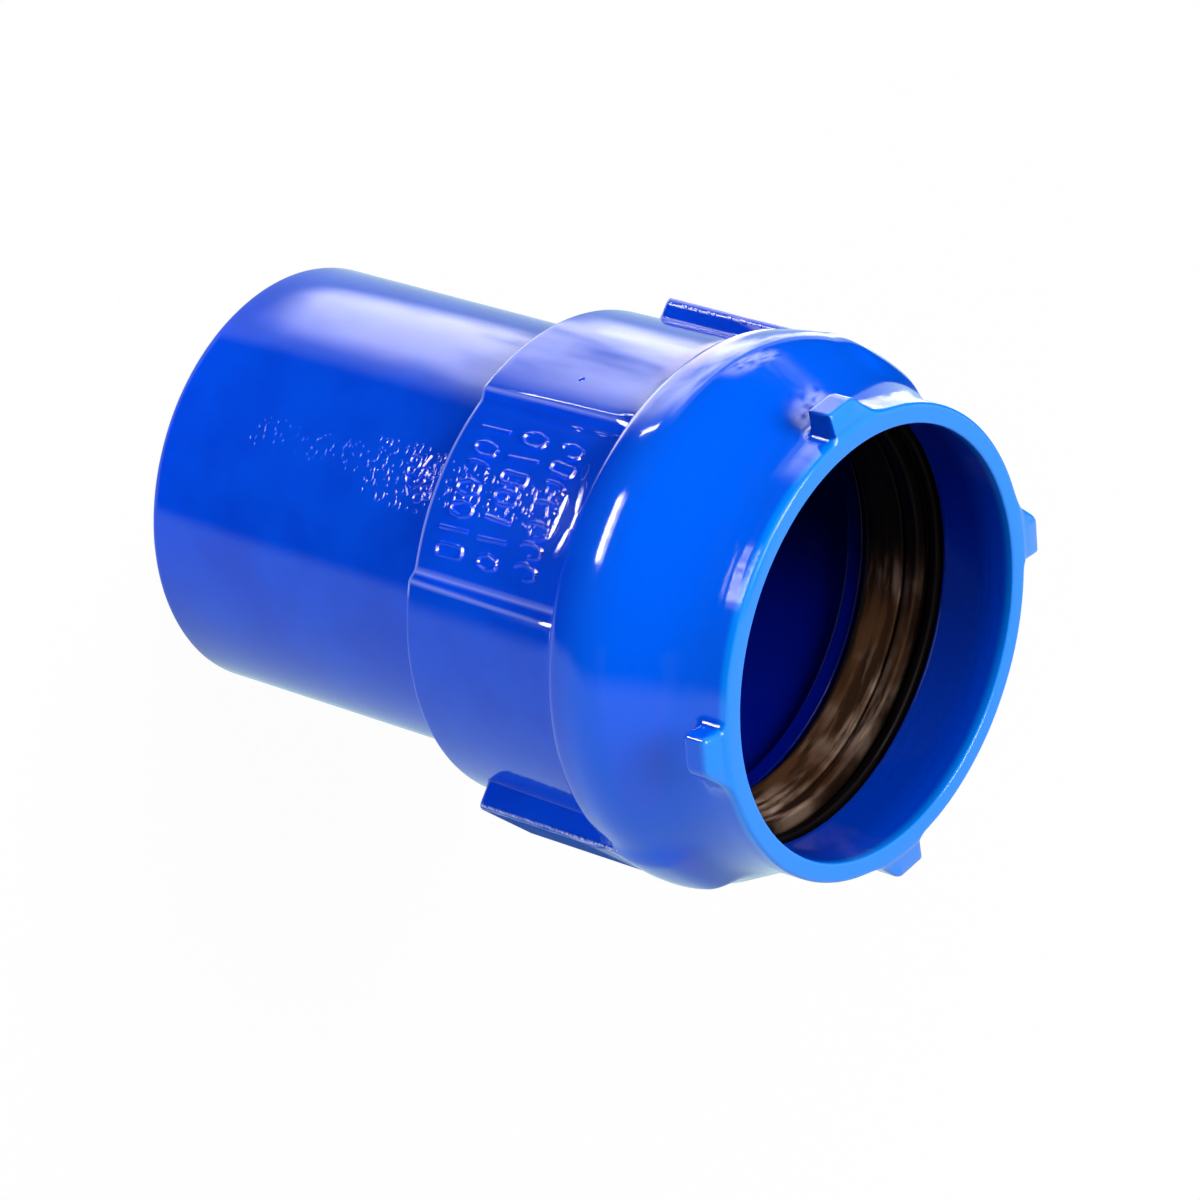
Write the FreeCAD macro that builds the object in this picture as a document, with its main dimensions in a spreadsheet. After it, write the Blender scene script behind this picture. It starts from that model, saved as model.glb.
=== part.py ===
"""Pipe transition adaptor: a ductile iron casting with a plain spigot at one end and a
push-fit socket at the other, and the rubber sealing ring that sits in the socket.

Frame, in millimetres: the origin is the centre of the spigot's end face, +Z runs along the
pipe's axis to the socket's mouth, and -Y points out of the recessed marking panel.
The casting was moulded in two halves that part on the XZ plane, so its panel faces along Y
and its two bars and four lugs have sides that draw along Y.
"""

import FreeCAD
import Part
import Sketcher
import math
import os

# The sizes that can be set by themselves, with what each one measures
DIMENSIONS = {
    "spigot_radius": (60.95, "outside of the plain spigot, a 121.9 mm pipe end"),
    "spigot_wall": (6.45, "iron between the spigot's outside and the waterway"),
    "spigot_length": (103.0, "plain spigot, from its end face to the collar"),
    "spigot_end_rounding": (2.0, "outer edge of the spigot's end face"),
    "mouth_radius": (60.6, "socket's mouth"),
    "mouth_land_length": (9.0, "straight mouth, from the mouth face to where it flares"),
    "mouth_depth": (26.0, "from the mouth face to the sealing groove"),
    "mouth_flare": (2.4, "growth of the mouth's radius from its straight land to the groove"),
    "lip_wall": (5.6, "iron round the mouth"),
    "lip_outer_rounding": (1.2, "outer edge of the mouth face"),
    "lip_inner_rounding": (0.8, "inner edge of the mouth face"),
    "groove_depth": (9.0, "root of the sealing groove beyond the mouth's radius"),
    "groove_nose": (2.0, "height of the groove's upright front wall"),
    "groove_overrun": (2.8, "straight groove past the bulge's crown"),
    "groove_rounding": (1.6, "root corners of the groove"),
    "throat_step": (2.4, "pipe-centring land behind the groove, inside the mouth's radius"),
    "throat_length": (5.1, "length of that land"),
    "throat_setback": (1.5, "from the crease to the rear end of the land"),
    "throat_ramp": (2.2, "slope from the land out to the chamber"),
    "land_rounding": (0.8, "edges of the mouth's and the throat's lands"),
    "chamber_room": (1.8, "chamber behind the throat, beyond the mouth's radius"),
    "stop_ledge": (6.3, "inner edge of the pipe stop, inside the mouth's radius"),
    "stop_wall": (6.0, "iron between the collar's rear face and the pipe stop"),
    "stop_rounding": (3.0, "inner corner at the foot of the pipe stop"),
    "taper_setback": (2.0, "from the collar's rear face back to the waterway's taper"),
    "collar_wall": (7.1, "iron between the chamber and the collar's rear edge"),
    "collar_step": (6.0, "least step from the spigot's outside up to the collar"),
    "collar_flare": (0.9, "growth of the collar's radius from its rear edge to the bulge"),
    "collar_length": (52.0, "collar, from its rear face to the crease at the bulge"),
    "collar_edge_rounding": (1.6, "outer edge of the collar's rear face"),
    "bulge_wall": (8.2, "iron over the groove, to the bulge's unrounded crown"),
    "bulge_rise": (7.0, "least rise from the collar's front up to the bulge's crown"),
    "crown_fall": (2.4, "fall of the bulge's radius from its crown to its shoulder"),
    "shoulder_length": (3.6, "steep shoulder, from the crease to the bulge's top"),
    "crown_length": (14.4, "bulge, from its shoulder to its unrounded crown"),
    "neck_length": (23.4, "slope from the crown down to the lip"),
    "lip_length": (15.6, "near-straight lip behind the mouth face"),
    "lip_taper": (0.2, "growth of the lip's radius away from the mouth"),
    "shoulder_rounding": (5.0, "top of the bulge's shoulder"),
    "crown_rounding": (20.0, "crown of the bulge"),
    "neck_rounding": (38.0, "hollow curve from the bulge's slope into the lip"),
    "crease_rounding": (1.6, "inner corner between the collar and the bulge"),
    "bar_height": (6.4, "face of the +X side bar above the collar's front end"),
    "low_bar_height": (4.5, "face of the -X side bar above the collar's front end"),
    "bar_half_width": (13.8, "half the width of each side bar across the parting"),
    "bar_setback": (12.4, "from the collar's rear face to the +X bar's rear end"),
    "low_bar_setback": (10.2, "from the collar's rear face to the -X bar's rear end"),
    "bar_reach": (26.6, "from the crease to the bars' front end"),
    "bar_rounding": (1.6, "edges and corners of the +X side bar"),
    "low_bar_rounding": (2.6, "edges and corners of the -X side bar"),
    "lug_height": (8.1, "top of each lug above the lip"),
    "lug_near_angle": (37.6, "angle of each lug's radial side from the draw direction"),
    "lug_far_angle": (46.1, "angle of each lug's outermost corner from the draw direction"),
    "lug_setback": (1.0, "from the mouth face back to the lugs' front face"),
    "lug_length": (8.0, "length of each lug along the axis"),
    "lug_rounding": (1.3, "edges of the lugs"),
    "panel_depth": (3.2, "floor of the marking panel below the collar's front end"),
    "panel_half_angle": (21.7, "half the angle that the panel's floor spans"),
    "panel_draft_angle": (3.0, "extra angle that each sloped side of the panel takes"),
    "ring_clearance": (0.3, "gap between the sealing ring and its groove"),
    "ring_heel_lift": (1.0, "ring's hard front heel beyond the mouth's radius"),
    "ring_heel_length": (2.8, "length of the heel's front rib"),
    "ring_notch_depth": (1.8, "depth of the notch behind the heel"),
    "ring_notch_length": (2.0, "length of that notch"),
    "ring_rib_reach": (1.65, "ring's second rib inside the mouth's radius"),
    "ring_rib_length": (4.4, "length of the second rib"),
    "ring_seam_depth": (1.4, "depth of the fine groove behind the second rib"),
    "ring_seam_length": (0.7, "length of that groove"),
    "ring_band_reach": (1.9, "front edge of the wide sealing band inside the mouth's radius"),
    "ring_lip_reach": (5.2, "innermost edge of the sealing band inside the mouth's radius"),
    "ring_lip_length": (9.6, "length of the sloping sealing band"),
    "ring_tail_reach": (1.2, "ring's rear face inside the mouth's radius"),
    "ring_heel_rounding": (0.7, "edges of the heel and the second rib"),
    "ring_lip_rounding": (1.4, "innermost edge of the sealing band"),
    "ring_back_rounding": (1.8, "outer corners of the ring"),
}

# Places and radii worked out from those sizes, as formulas in a second sheet
DERIVED = {
    "spigot_end_place": "0",
    "waterway_radius": "Sizes.spigot_radius - Sizes.spigot_wall",
    "stop_radius": "Sizes.mouth_radius - Sizes.stop_ledge",
    "chamber_radius": "Sizes.mouth_radius + Sizes.chamber_room",
    "throat_radius": "Sizes.mouth_radius - Sizes.throat_step",
    "groove_radius": "Sizes.mouth_radius + Sizes.groove_depth",
    "mouth_rear_radius": "Sizes.mouth_radius + Sizes.mouth_flare",
    "groove_nose_radius": "mouth_rear_radius + Sizes.groove_nose",
    "least_collar_radius": "Sizes.spigot_radius + Sizes.collar_step",
    "collar_rear_radius": "max(chamber_radius + Sizes.collar_wall; least_collar_radius)",
    "collar_front_radius": "collar_rear_radius + Sizes.collar_flare",
    "panel_floor_radius": "collar_front_radius - Sizes.panel_depth",
    "least_crown_radius": "collar_front_radius + Sizes.bulge_rise",
    "crown_radius": "max(groove_radius + Sizes.bulge_wall; least_crown_radius)",
    "shoulder_radius": "crown_radius - Sizes.crown_fall",
    "lip_radius": "Sizes.mouth_radius + Sizes.lip_wall",
    "neck_radius": "lip_radius + Sizes.lip_taper",
    "crease_place": "Sizes.spigot_length + Sizes.collar_length",
    "shoulder_place": "crease_place + Sizes.shoulder_length",
    "crown_place": "shoulder_place + Sizes.crown_length",
    "neck_place": "crown_place + Sizes.neck_length",
    "mouth_place": "neck_place + Sizes.lip_length",
    "taper_place": "Sizes.spigot_length - Sizes.taper_setback",
    "stop_place": "Sizes.spigot_length + Sizes.stop_wall",
    "throat_rear_place": "crease_place + Sizes.throat_setback",
    "groove_rear_place": "throat_rear_place + Sizes.throat_length",
    "groove_flat_place": "crown_place + Sizes.groove_overrun",
    "groove_front_place": "mouth_place - Sizes.mouth_depth",
    "mouth_land_place": "mouth_place - Sizes.mouth_land_length",
    "bar_face": "collar_front_radius + Sizes.bar_height",
    "low_bar_face": "collar_front_radius + Sizes.low_bar_height",
    "bar_rear_place": "Sizes.spigot_length + Sizes.bar_setback",
    "low_bar_rear_place": "Sizes.spigot_length + Sizes.low_bar_setback",
    "bar_front_place": "crease_place + Sizes.bar_reach",
    "lug_radius": "lip_radius + Sizes.lug_height",
    "lug_front_place": "mouth_place - Sizes.lug_setback",
    "lug_rear_place": "lug_front_place - Sizes.lug_length",
    "ring_rear_place": "groove_rear_place + Sizes.ring_clearance",
    "ring_outer_radius": "groove_radius - Sizes.ring_clearance",
    "ring_flat_place": "groove_flat_place - Sizes.ring_clearance",
    "ring_front_place": "groove_front_place - Sizes.ring_clearance * 3",
    "ring_nose_radius": "groove_nose_radius - Sizes.ring_clearance",
    "ring_heel_radius": "Sizes.mouth_radius + Sizes.ring_heel_lift",
    "ring_notch_radius": "ring_heel_radius + Sizes.ring_notch_depth",
    "ring_rib_radius": "Sizes.mouth_radius - Sizes.ring_rib_reach",
    "ring_seam_radius": "ring_rib_radius + Sizes.ring_seam_depth",
    "ring_band_radius": "Sizes.mouth_radius - Sizes.ring_band_reach",
    "ring_lip_radius": "Sizes.mouth_radius - Sizes.ring_lip_reach",
    "ring_tail_radius": "Sizes.mouth_radius - Sizes.ring_tail_reach",
    "ring_notch_front_place": "ring_front_place - Sizes.ring_heel_length",
    "ring_rib_front_place": "ring_notch_front_place - Sizes.ring_notch_length",
    "ring_rib_rear_place": "ring_rib_front_place - Sizes.ring_rib_length",
    "ring_band_front_place": "ring_rib_rear_place - Sizes.ring_seam_length",
    "ring_lip_place": "ring_band_front_place - Sizes.ring_lip_length",
}

# How far cutting profiles run past the faces that they cut, and how near a found edge must lie
CUT_MARGIN = 2.0
EDGE_TOLERANCE = 0.05
EDGE_SAMPLES = (0.2, 0.5, 0.8)

# The sketch's own origin, as a curve number and a point number
SKETCH_ORIGIN = (-1, 1)


def make_sheets(doc):
    """Write the driving sizes into one sheet and the places worked out from them into another."""
    sizes = doc.addObject("Spreadsheet::Sheet", "Sizes")
    for row, (alias, (value, meaning)) in enumerate(DIMENSIONS.items(), start=1):
        sizes.set("A%d" % row, alias.replace("_", " "))
        sizes.set("B%d" % row, str(value))
        sizes.setAlias("B%d" % row, alias)
        sizes.set("C%d" % row, meaning)
    doc.recompute()
    places = doc.addObject("Spreadsheet::Sheet", "Places")
    for row, (alias, formula) in enumerate(DERIVED.items(), start=1):
        places.set("A%d" % row, alias.replace("_", " "))
        places.setAlias("B%d" % row, alias)
        places.set("B%d" % row, "=" + formula)
    doc.recompute()
    return sizes, places


def value_of(doc, name):
    """Give a size or a place by its alias."""
    sheet = doc.Sizes if name in DIMENSIONS else doc.Places
    return float(getattr(sheet, name))


def origin_plane(body, role):
    """Give one of a body's own origin planes."""
    for feature in body.Origin.OriginFeatures:
        if feature.Role == role:
            return feature
    raise ValueError("no plane " + role)


def new_sketch(body, name, role):
    """Start a sketch on one of a body's origin planes."""
    sketch = body.newObject("Sketcher::SketchObject", name)
    sketch.AttachmentSupport = [(origin_plane(body, role), "")]
    sketch.MapMode = "FlatFace"
    return sketch


def bind_corner(sketch, geometry, point, corner_name, across, along):
    """Tie both coordinates of a sketch point to formulas."""
    for kind, suffix, formula in (("DistanceX", "x", across), ("DistanceY", "y", along)):
        start = float(sketch.evalExpression(formula))
        distance = Sketcher.Constraint(kind, *SKETCH_ORIGIN, geometry, point, start)
        index = sketch.addConstraint(distance)
        label = "%s_%s" % (corner_name, suffix)
        sketch.renameConstraint(index, label)
        sketch.setExpression("Constraints." + label, formula)


def draw_polygon(sketch, corners):
    """Draw a closed polygon whose corners are (name, formula across, formula along)."""
    points = []
    for _, across, along in corners:
        x_value = float(sketch.evalExpression(across))
        y_value = float(sketch.evalExpression(along))
        points.append(FreeCAD.Vector(x_value, y_value, 0))
    count = len(points)
    for index in range(count):
        sketch.addGeometry(Part.LineSegment(points[index], points[(index + 1) % count]))
    for index in range(count):
        sketch.addConstraint(Sketcher.Constraint("Coincident", index, 2, (index + 1) % count, 1))
    for index, (name, across, along) in enumerate(corners):
        bind_corner(sketch, index, 1, name, across, along)


def round_edges(body, name, base, edge_names, rounding):
    """Round some edges of a feature by a size from the sheet."""
    if not edge_names:
        raise ValueError("no edges found for " + name)
    fillet = body.newObject("PartDesign::Fillet", name)
    fillet.Base = (base, edge_names)
    fillet.setExpression("Radius", "Sizes." + rounding)
    body.Document.recompute()
    return fillet


def edges_in(feature, test):
    """Name the edges on which every sampled point passes a test."""
    names = []
    for index, edge in enumerate(feature.Shape.Edges, start=1):
        span = edge.LastParameter - edge.FirstParameter
        points = [edge.valueAt(edge.FirstParameter + span * share) for share in EDGE_SAMPLES]
        if all(test(point) for point in points):
            names.append("Edge%d" % index)
    return names


def circle_edges(feature, radius, place):
    """Name the edges that run round Z at this radius and this height."""
    def on_circle(point):
        """Tell whether a point lies on the wanted circle."""
        same_radius = abs(math.hypot(point.x, point.y) - radius) < EDGE_TOLERANCE
        return same_radius and abs(point.z - place) < EDGE_TOLERANCE

    return edges_in(feature, on_circle)


def revolve(body, kind, name, sketch):
    """Turn a profile all the way round the pipe's axis."""
    feature = body.newObject(kind, name)
    feature.Profile = sketch
    feature.ReferenceAxis = (sketch, ["V_Axis"])
    feature.Angle = 360
    body.Document.recompute()
    return feature


def round_turned(body, feature, turned_edges):
    """Round whole circles, each given by the names of its radius, height and rounding."""
    for name, radius, place, rounding in turned_edges:
        doc = body.Document
        edges = circle_edges(feature, value_of(doc, radius), value_of(doc, place))
        feature = round_edges(body, name + "Rounding", feature, edges, rounding)
    return feature


def outer_corners():
    """Outline of the casting's outside, from the axis at the spigot's end to the mouth."""
    return [
        ("axis_rear", "0", "0"),
        ("spigot_end", "Sizes.spigot_radius", "Places.spigot_end_place"),
        ("spigot_root", "Sizes.spigot_radius", "Sizes.spigot_length"),
        ("collar_rear", "Places.collar_rear_radius", "Sizes.spigot_length"),
        ("crease", "Places.collar_front_radius", "Places.crease_place"),
        ("shoulder", "Places.shoulder_radius", "Places.shoulder_place"),
        ("crown", "Places.crown_radius", "Places.crown_place"),
        ("neck", "Places.neck_radius", "Places.neck_place"),
        ("mouth", "Places.lip_radius", "Places.mouth_place"),
        ("axis_front", "0", "Places.mouth_place"),
    ]


def inner_corners():
    """Outline of everything that is hollow inside the casting."""
    past_rear = "-%s" % CUT_MARGIN
    past_front = "Places.mouth_place + %s" % CUT_MARGIN
    return [
        ("axis_rear", "0", past_rear),
        ("waterway_end", "Places.waterway_radius", past_rear),
        ("taper_start", "Places.waterway_radius", "Places.taper_place"),
        ("stop_inner", "Places.stop_radius", "Places.stop_place"),
        ("stop_outer", "Places.chamber_radius", "Places.stop_place"),
        ("chamber_front", "Places.chamber_radius", "Places.throat_rear_place - Sizes.throat_ramp"),
        ("throat_rear", "Places.throat_radius", "Places.throat_rear_place"),
        ("throat_front", "Places.throat_radius", "Places.groove_rear_place"),
        ("groove_rear", "Places.groove_radius", "Places.groove_rear_place"),
        ("groove_flat", "Places.groove_radius", "Places.groove_flat_place"),
        ("groove_nose", "Places.groove_nose_radius", "Places.groove_front_place"),
        ("mouth_rear", "Places.mouth_rear_radius", "Places.groove_front_place"),
        ("mouth_land", "Sizes.mouth_radius", "Places.mouth_land_place"),
        ("mouth_front", "Sizes.mouth_radius", past_front),
        ("axis_front", "0", past_front),
    ]


def lug_corners():
    """Outline, looking along the axis, of one star that carries all four lugs.

    Each lug has a radial side towards the draw direction and a side that draws along Y.
    Between the lugs the outline dips inside the lip's wall.
    """
    near_x = "Places.lug_radius * sin(Sizes.lug_near_angle)"
    near_y = "Places.lug_radius * cos(Sizes.lug_near_angle)"
    far_x = "Places.lug_radius * sin(Sizes.lug_far_angle)"
    far_y = "Places.lug_radius * cos(Sizes.lug_far_angle)"
    root = "Sizes.mouth_radius"
    near_root_x = root + " * sin(Sizes.lug_near_angle)"
    near_root_y = root + " * cos(Sizes.lug_near_angle)"
    far_root_y = "sqrt(%s * %s - (%s) * (%s))" % (root, root, far_x, far_x)
    quarter = [
        ("near_root", near_root_x, near_root_y),
        ("near_top", near_x, near_y),
        ("far_top", far_x, far_y),
        ("far_root", far_x, far_root_y),
    ]
    corners = []
    for name, across, along in quarter:
        corners.append(("a_" + name, across, along))
    for name, across, along in reversed(quarter):
        corners.append(("b_" + name, across, "-(%s)" % along))
    for name, across, along in quarter:
        corners.append(("c_" + name, "-(%s)" % across, "-(%s)" % along))
    for name, across, along in reversed(quarter):
        corners.append(("d_" + name, "-(%s)" % across, along))
    return corners


def build_prism(doc, name, corners, rear, length):
    """Make a body of one straight prism along the axis, from a height given by a formula."""
    body = doc.addObject("PartDesign::Body", name)
    sketch = new_sketch(body, name + "Outline", "XY_Plane")
    sketch.setExpression("AttachmentOffset.Base.z", rear)
    draw_polygon(sketch, corners)
    doc.recompute()
    prism = body.newObject("PartDesign::Pad", name + "Prism")
    prism.Profile = sketch
    prism.setExpression("Length", length)
    doc.recompute()
    return body, prism


def build_bar(doc, name, sign, face, rear, rounding):
    """One side bar, a block that runs from the axis out to its own face on the +X or -X side."""
    half = "Sizes.bar_half_width"
    reach = "%sPlaces.%s" % (sign, face)
    corners = [
        ("inner_low", "0", "-" + half),
        ("outer_low", reach, "-" + half),
        ("outer_high", reach, half),
        ("inner_high", "0", half),
    ]
    start = "Places." + rear
    length = "Places.bar_front_place - " + start
    body, prism = build_prism(doc, name, corners, start, length)
    face_distance = value_of(doc, face)
    half_width = value_of(doc, "bar_half_width")
    ends = (value_of(doc, rear), value_of(doc, "bar_front_place"))

    def on_rim(point):
        """Tell whether a point is on the rim of the bar's face or on an upright end edge."""
        on_face = abs(abs(point.x) - face_distance) < EDGE_TOLERANCE
        on_side = abs(abs(point.y) - half_width) < EDGE_TOLERANCE
        on_end = min(abs(point.z - end) for end in ends) < EDGE_TOLERANCE
        return on_face or (on_side and on_end)

    body.Tip = round_edges(body, name + "Rounding", prism, edges_in(prism, on_rim), rounding)
    return body


def build_lugs(doc):
    """The star whose four points show as lugs on the lip."""
    rear = "Places.lug_rear_place"
    body, prism = build_prism(doc, "Lugs", lug_corners(), rear, "Sizes.lug_length")
    top = value_of(doc, "lug_radius")
    ends = (value_of(doc, "lug_rear_place"), value_of(doc, "lug_front_place"))
    root = value_of(doc, "mouth_radius")

    def on_lug(point):
        """Tell whether a point is on a lug's outer corner edge or on the rim of either end."""
        distance = math.hypot(point.x, point.y)
        on_corner = abs(distance - top) < EDGE_TOLERANCE
        on_end = min(abs(point.z - end) for end in ends) < EDGE_TOLERANCE
        return on_corner or (on_end and distance > root)

    body.Tip = round_edges(body, "LugRounding", prism, edges_in(prism, on_lug), "lug_rounding")
    return body


def join_bodies(body, name, others):
    """Fuse other bodies of the document into this one."""
    union = body.newObject("PartDesign::Boolean", name)
    union.Type = "Fuse"
    union.setObjects(others)
    body.Document.recompute()
    return union


def cut_panel(body):
    """Cut the shallow marking panel on the -Y side, open at the collar's rear face."""
    sketch = new_sketch(body, "PanelOutline", "XY_Plane")
    sketch.setExpression("AttachmentOffset.Base.z", "Sizes.spigot_length - %s" % CUT_MARGIN)
    floor_x = "Places.panel_floor_radius * sin(Sizes.panel_half_angle)"
    floor_y = "-Places.panel_floor_radius * cos(Sizes.panel_half_angle)"
    edge_angle = "(Sizes.panel_half_angle + Sizes.panel_draft_angle)"
    edge_x = "Places.collar_front_radius * sin(%s)" % edge_angle
    edge_y = "-Places.collar_front_radius * cos(%s)" % edge_angle
    outer_x = "2 * %s - %s" % (edge_x, floor_x)
    outer_y = "2 * (%s) - (%s)" % (edge_y, floor_y)
    clear_y = "-Places.crown_radius"
    doc = body.Document
    radius = value_of(doc, "panel_floor_radius")
    half_angle = math.radians(value_of(doc, "panel_half_angle"))
    down = -math.pi / 2
    circle = Part.Circle(FreeCAD.Vector(0, 0, 0), FreeCAD.Vector(0, 0, 1), radius)
    sketch.addGeometry(Part.ArcOfCircle(circle, down - half_angle, down + half_angle))
    path = [
        ("right_outer", outer_x, outer_y),
        ("right_clear", outer_x, clear_y),
        ("left_clear", "-(%s)" % outer_x, clear_y),
        ("left_outer", "-(%s)" % outer_x, outer_y),
    ]
    ends = [(floor_x, floor_y)]
    ends += [(across, along) for _, across, along in path]
    ends.append(("-(%s)" % floor_x, floor_y))
    spots = []
    for across, along in ends:
        x_value = float(sketch.evalExpression(across))
        y_value = float(sketch.evalExpression(along))
        spots.append(FreeCAD.Vector(x_value, y_value, 0))
    for first, second in zip(spots, spots[1:]):
        sketch.addGeometry(Part.LineSegment(first, second))
    last = len(path) + 1
    sketch.addConstraint(Sketcher.Constraint("Coincident", 0, 3, *SKETCH_ORIGIN))
    sketch.addConstraint(Sketcher.Constraint("Coincident", 0, 2, 1, 1))
    for index in range(1, last):
        sketch.addConstraint(Sketcher.Constraint("Coincident", index, 2, index + 1, 1))
    sketch.addConstraint(Sketcher.Constraint("Coincident", last, 2, 0, 1))
    bind_corner(sketch, 1, 1, "right_floor", floor_x, floor_y)
    for index, (name, across, along) in enumerate(path, start=2):
        bind_corner(sketch, index, 1, name, across, along)
    index = sketch.addConstraint(Sketcher.Constraint("DistanceX", *SKETCH_ORIGIN, 0, 1, -spots[0].x))
    sketch.renameConstraint(index, "left_floor_x")
    sketch.setExpression("Constraints.left_floor_x", "-(%s)" % floor_x)
    doc.recompute()
    panel = body.newObject("PartDesign::Pocket", "PanelRecess")
    panel.Profile = sketch
    panel.Reversed = True
    panel.setExpression("Length", "Sizes.collar_length + %s" % CUT_MARGIN)
    doc.recompute()
    return panel


def build_casting(doc):
    """The one-piece iron casting: spigot, collar, bulge, lip, bars, lugs, panel and bore."""
    body = doc.addObject("PartDesign::Body", "CastBody")
    body.Label = "cast_body"
    sketch = new_sketch(body, "OutsideProfile", "XZ_Plane")
    draw_polygon(sketch, outer_corners())
    doc.recompute()
    feature = revolve(body, "PartDesign::Revolution", "Outside", sketch)

    # Roundings of the turned outside, while every edge is still a whole circle
    turned_edges = [
        ("SpigotEnd", "spigot_radius", "spigot_end_place", "spigot_end_rounding"),
        ("CollarEdge", "collar_rear_radius", "spigot_length", "collar_edge_rounding"),
        ("Crease", "collar_front_radius", "crease_place", "crease_rounding"),
        ("Shoulder", "shoulder_radius", "shoulder_place", "shoulder_rounding"),
        ("Crown", "crown_radius", "crown_place", "crown_rounding"),
        ("Neck", "neck_radius", "neck_place", "neck_rounding"),
        ("LipOuter", "lip_radius", "mouth_place", "lip_outer_rounding"),
    ]
    feature = round_turned(body, feature, turned_edges)

    # The two side bars on the parting plane, the four lugs behind the mouth and the panel
    bar = build_bar(doc, "Bar", "", "bar_face", "bar_rear_place", "bar_rounding")
    low_bar = build_bar(doc, "LowBar", "-", "low_bar_face", "low_bar_rear_place", "low_bar_rounding")
    feature = join_bodies(body, "BarsAndLugs", [bar, low_bar, build_lugs(doc)])
    before = feature.Shape.Volume
    feature = cut_panel(body)
    if feature.Shape.Volume > before - 1:
        raise ValueError("the panel was not cut")

    # The hollow inside: waterway, pipe stop, chamber, throat, ring groove and mouth
    sketch = new_sketch(body, "InsideProfile", "XZ_Plane")
    draw_polygon(sketch, inner_corners())
    doc.recompute()
    before = feature.Shape.Volume
    feature = revolve(body, "PartDesign::Groove", "Inside", sketch)
    if feature.Shape.Volume > before / 2:
        raise ValueError("the inside was not cut")
    hollow_edges = [
        ("LipInner", "mouth_radius", "mouth_place", "lip_inner_rounding"),
        ("MouthRear", "mouth_rear_radius", "groove_front_place", "land_rounding"),
        ("GrooveFlat", "groove_radius", "groove_flat_place", "groove_rounding"),
        ("GrooveRear", "groove_radius", "groove_rear_place", "groove_rounding"),
        ("ThroatFront", "throat_radius", "groove_rear_place", "land_rounding"),
        ("ThroatRear", "throat_radius", "throat_rear_place", "land_rounding"),
        ("Stop", "chamber_radius", "stop_place", "stop_rounding"),
    ]
    feature = round_turned(body, feature, hollow_edges)
    body.Tip = feature
    return body


def ring_corners():
    """Section of the sealing ring, from its rear face round to its front heel."""
    return [
        ("tail_inner", "Places.ring_tail_radius", "Places.ring_rear_place"),
        ("tail_outer", "Places.ring_outer_radius", "Places.ring_rear_place"),
        ("crown", "Places.ring_outer_radius", "Places.ring_flat_place"),
        ("nose", "Places.ring_nose_radius", "Places.ring_front_place"),
        ("heel_front", "Places.ring_heel_radius", "Places.ring_front_place"),
        ("heel_rear", "Places.ring_heel_radius", "Places.ring_notch_front_place"),
        ("notch_front", "Places.ring_notch_radius", "Places.ring_notch_front_place"),
        ("notch_rear", "Places.ring_notch_radius", "Places.ring_rib_front_place"),
        ("rib_front", "Places.ring_rib_radius", "Places.ring_rib_front_place"),
        ("rib_rear", "Places.ring_rib_radius", "Places.ring_rib_rear_place"),
        ("seam_front", "Places.ring_seam_radius", "Places.ring_rib_rear_place"),
        ("seam_rear", "Places.ring_seam_radius", "Places.ring_band_front_place"),
        ("band_front", "Places.ring_band_radius", "Places.ring_band_front_place"),
        ("lip", "Places.ring_lip_radius", "Places.ring_lip_place"),
    ]


def build_ring(doc):
    """The rubber sealing ring, lying in the socket's groove."""
    body = doc.addObject("PartDesign::Body", "RubberRing")
    body.Label = "rubber_ring"
    sketch = new_sketch(body, "RingSection", "XZ_Plane")
    draw_polygon(sketch, ring_corners())
    doc.recompute()
    feature = revolve(body, "PartDesign::Revolution", "Ring", sketch)
    ring_edges = [
        ("Lip", "ring_lip_radius", "ring_lip_place", "ring_lip_rounding"),
        ("HeelFront", "ring_heel_radius", "ring_front_place", "ring_heel_rounding"),
        ("HeelRear", "ring_heel_radius", "ring_notch_front_place", "ring_heel_rounding"),
        ("RibFront", "ring_rib_radius", "ring_rib_front_place", "ring_heel_rounding"),
        ("RibRear", "ring_rib_radius", "ring_rib_rear_place", "ring_heel_rounding"),
        ("TailOuter", "ring_outer_radius", "ring_rear_place", "ring_back_rounding"),
        ("Crown", "ring_outer_radius", "ring_flat_place", "ring_back_rounding"),
    ]
    feature = round_turned(body, feature, ring_edges)
    body.Tip = feature
    return body


def check_document(doc, bodies):
    """Stop if any object failed to build or any body's shape isn't a sound solid."""
    for item in doc.Objects:
        if "Invalid" in item.State or "Error" in item.State:
            raise RuntimeError("%s failed: %s" % (item.Name, item.State))
    for body in bodies:
        shape = body.Shape
        if shape.isNull() or not shape.isValid():
            raise RuntimeError(body.Label + " has no valid shape")
        if len(shape.Solids) != 1:
            raise RuntimeError("%s has %d solids" % (body.Label, len(shape.Solids)))


def main():
    """Build both pieces, check them and write one STEP file for each."""
    doc = FreeCAD.newDocument("PipeTransitionAdaptor")
    make_sheets(doc)
    bodies = [build_casting(doc), build_ring(doc)]
    doc.recompute()
    check_document(doc, bodies)
    os.makedirs("parts", exist_ok=True)
    for body in bodies:
        body.Shape.exportStep("parts/%s.step" % body.Label)
        box = body.Shape.optimalBoundingBox(False)
        print("%s: volume %.0f mm3, box %.2f %.2f %.2f to %.2f %.2f %.2f" % (
            body.Label, body.Shape.Volume, box.XMin, box.YMin, box.ZMin,
            box.XMax, box.YMax, box.ZMax))


main()
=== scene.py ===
"""Pipe transition adaptor: a blue coated iron casting with a rubber ring in its socket.

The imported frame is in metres: the origin is the centre of the spigot's end face, +Z runs along
the pipe's axis to the mouth, and -Y points out of the recessed marking panel. Sizes of pieces are
in millimetres and turn into metres where a mesh is made. Finishes, cards and lamps are in metres.
"""

from __future__ import annotations

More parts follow.
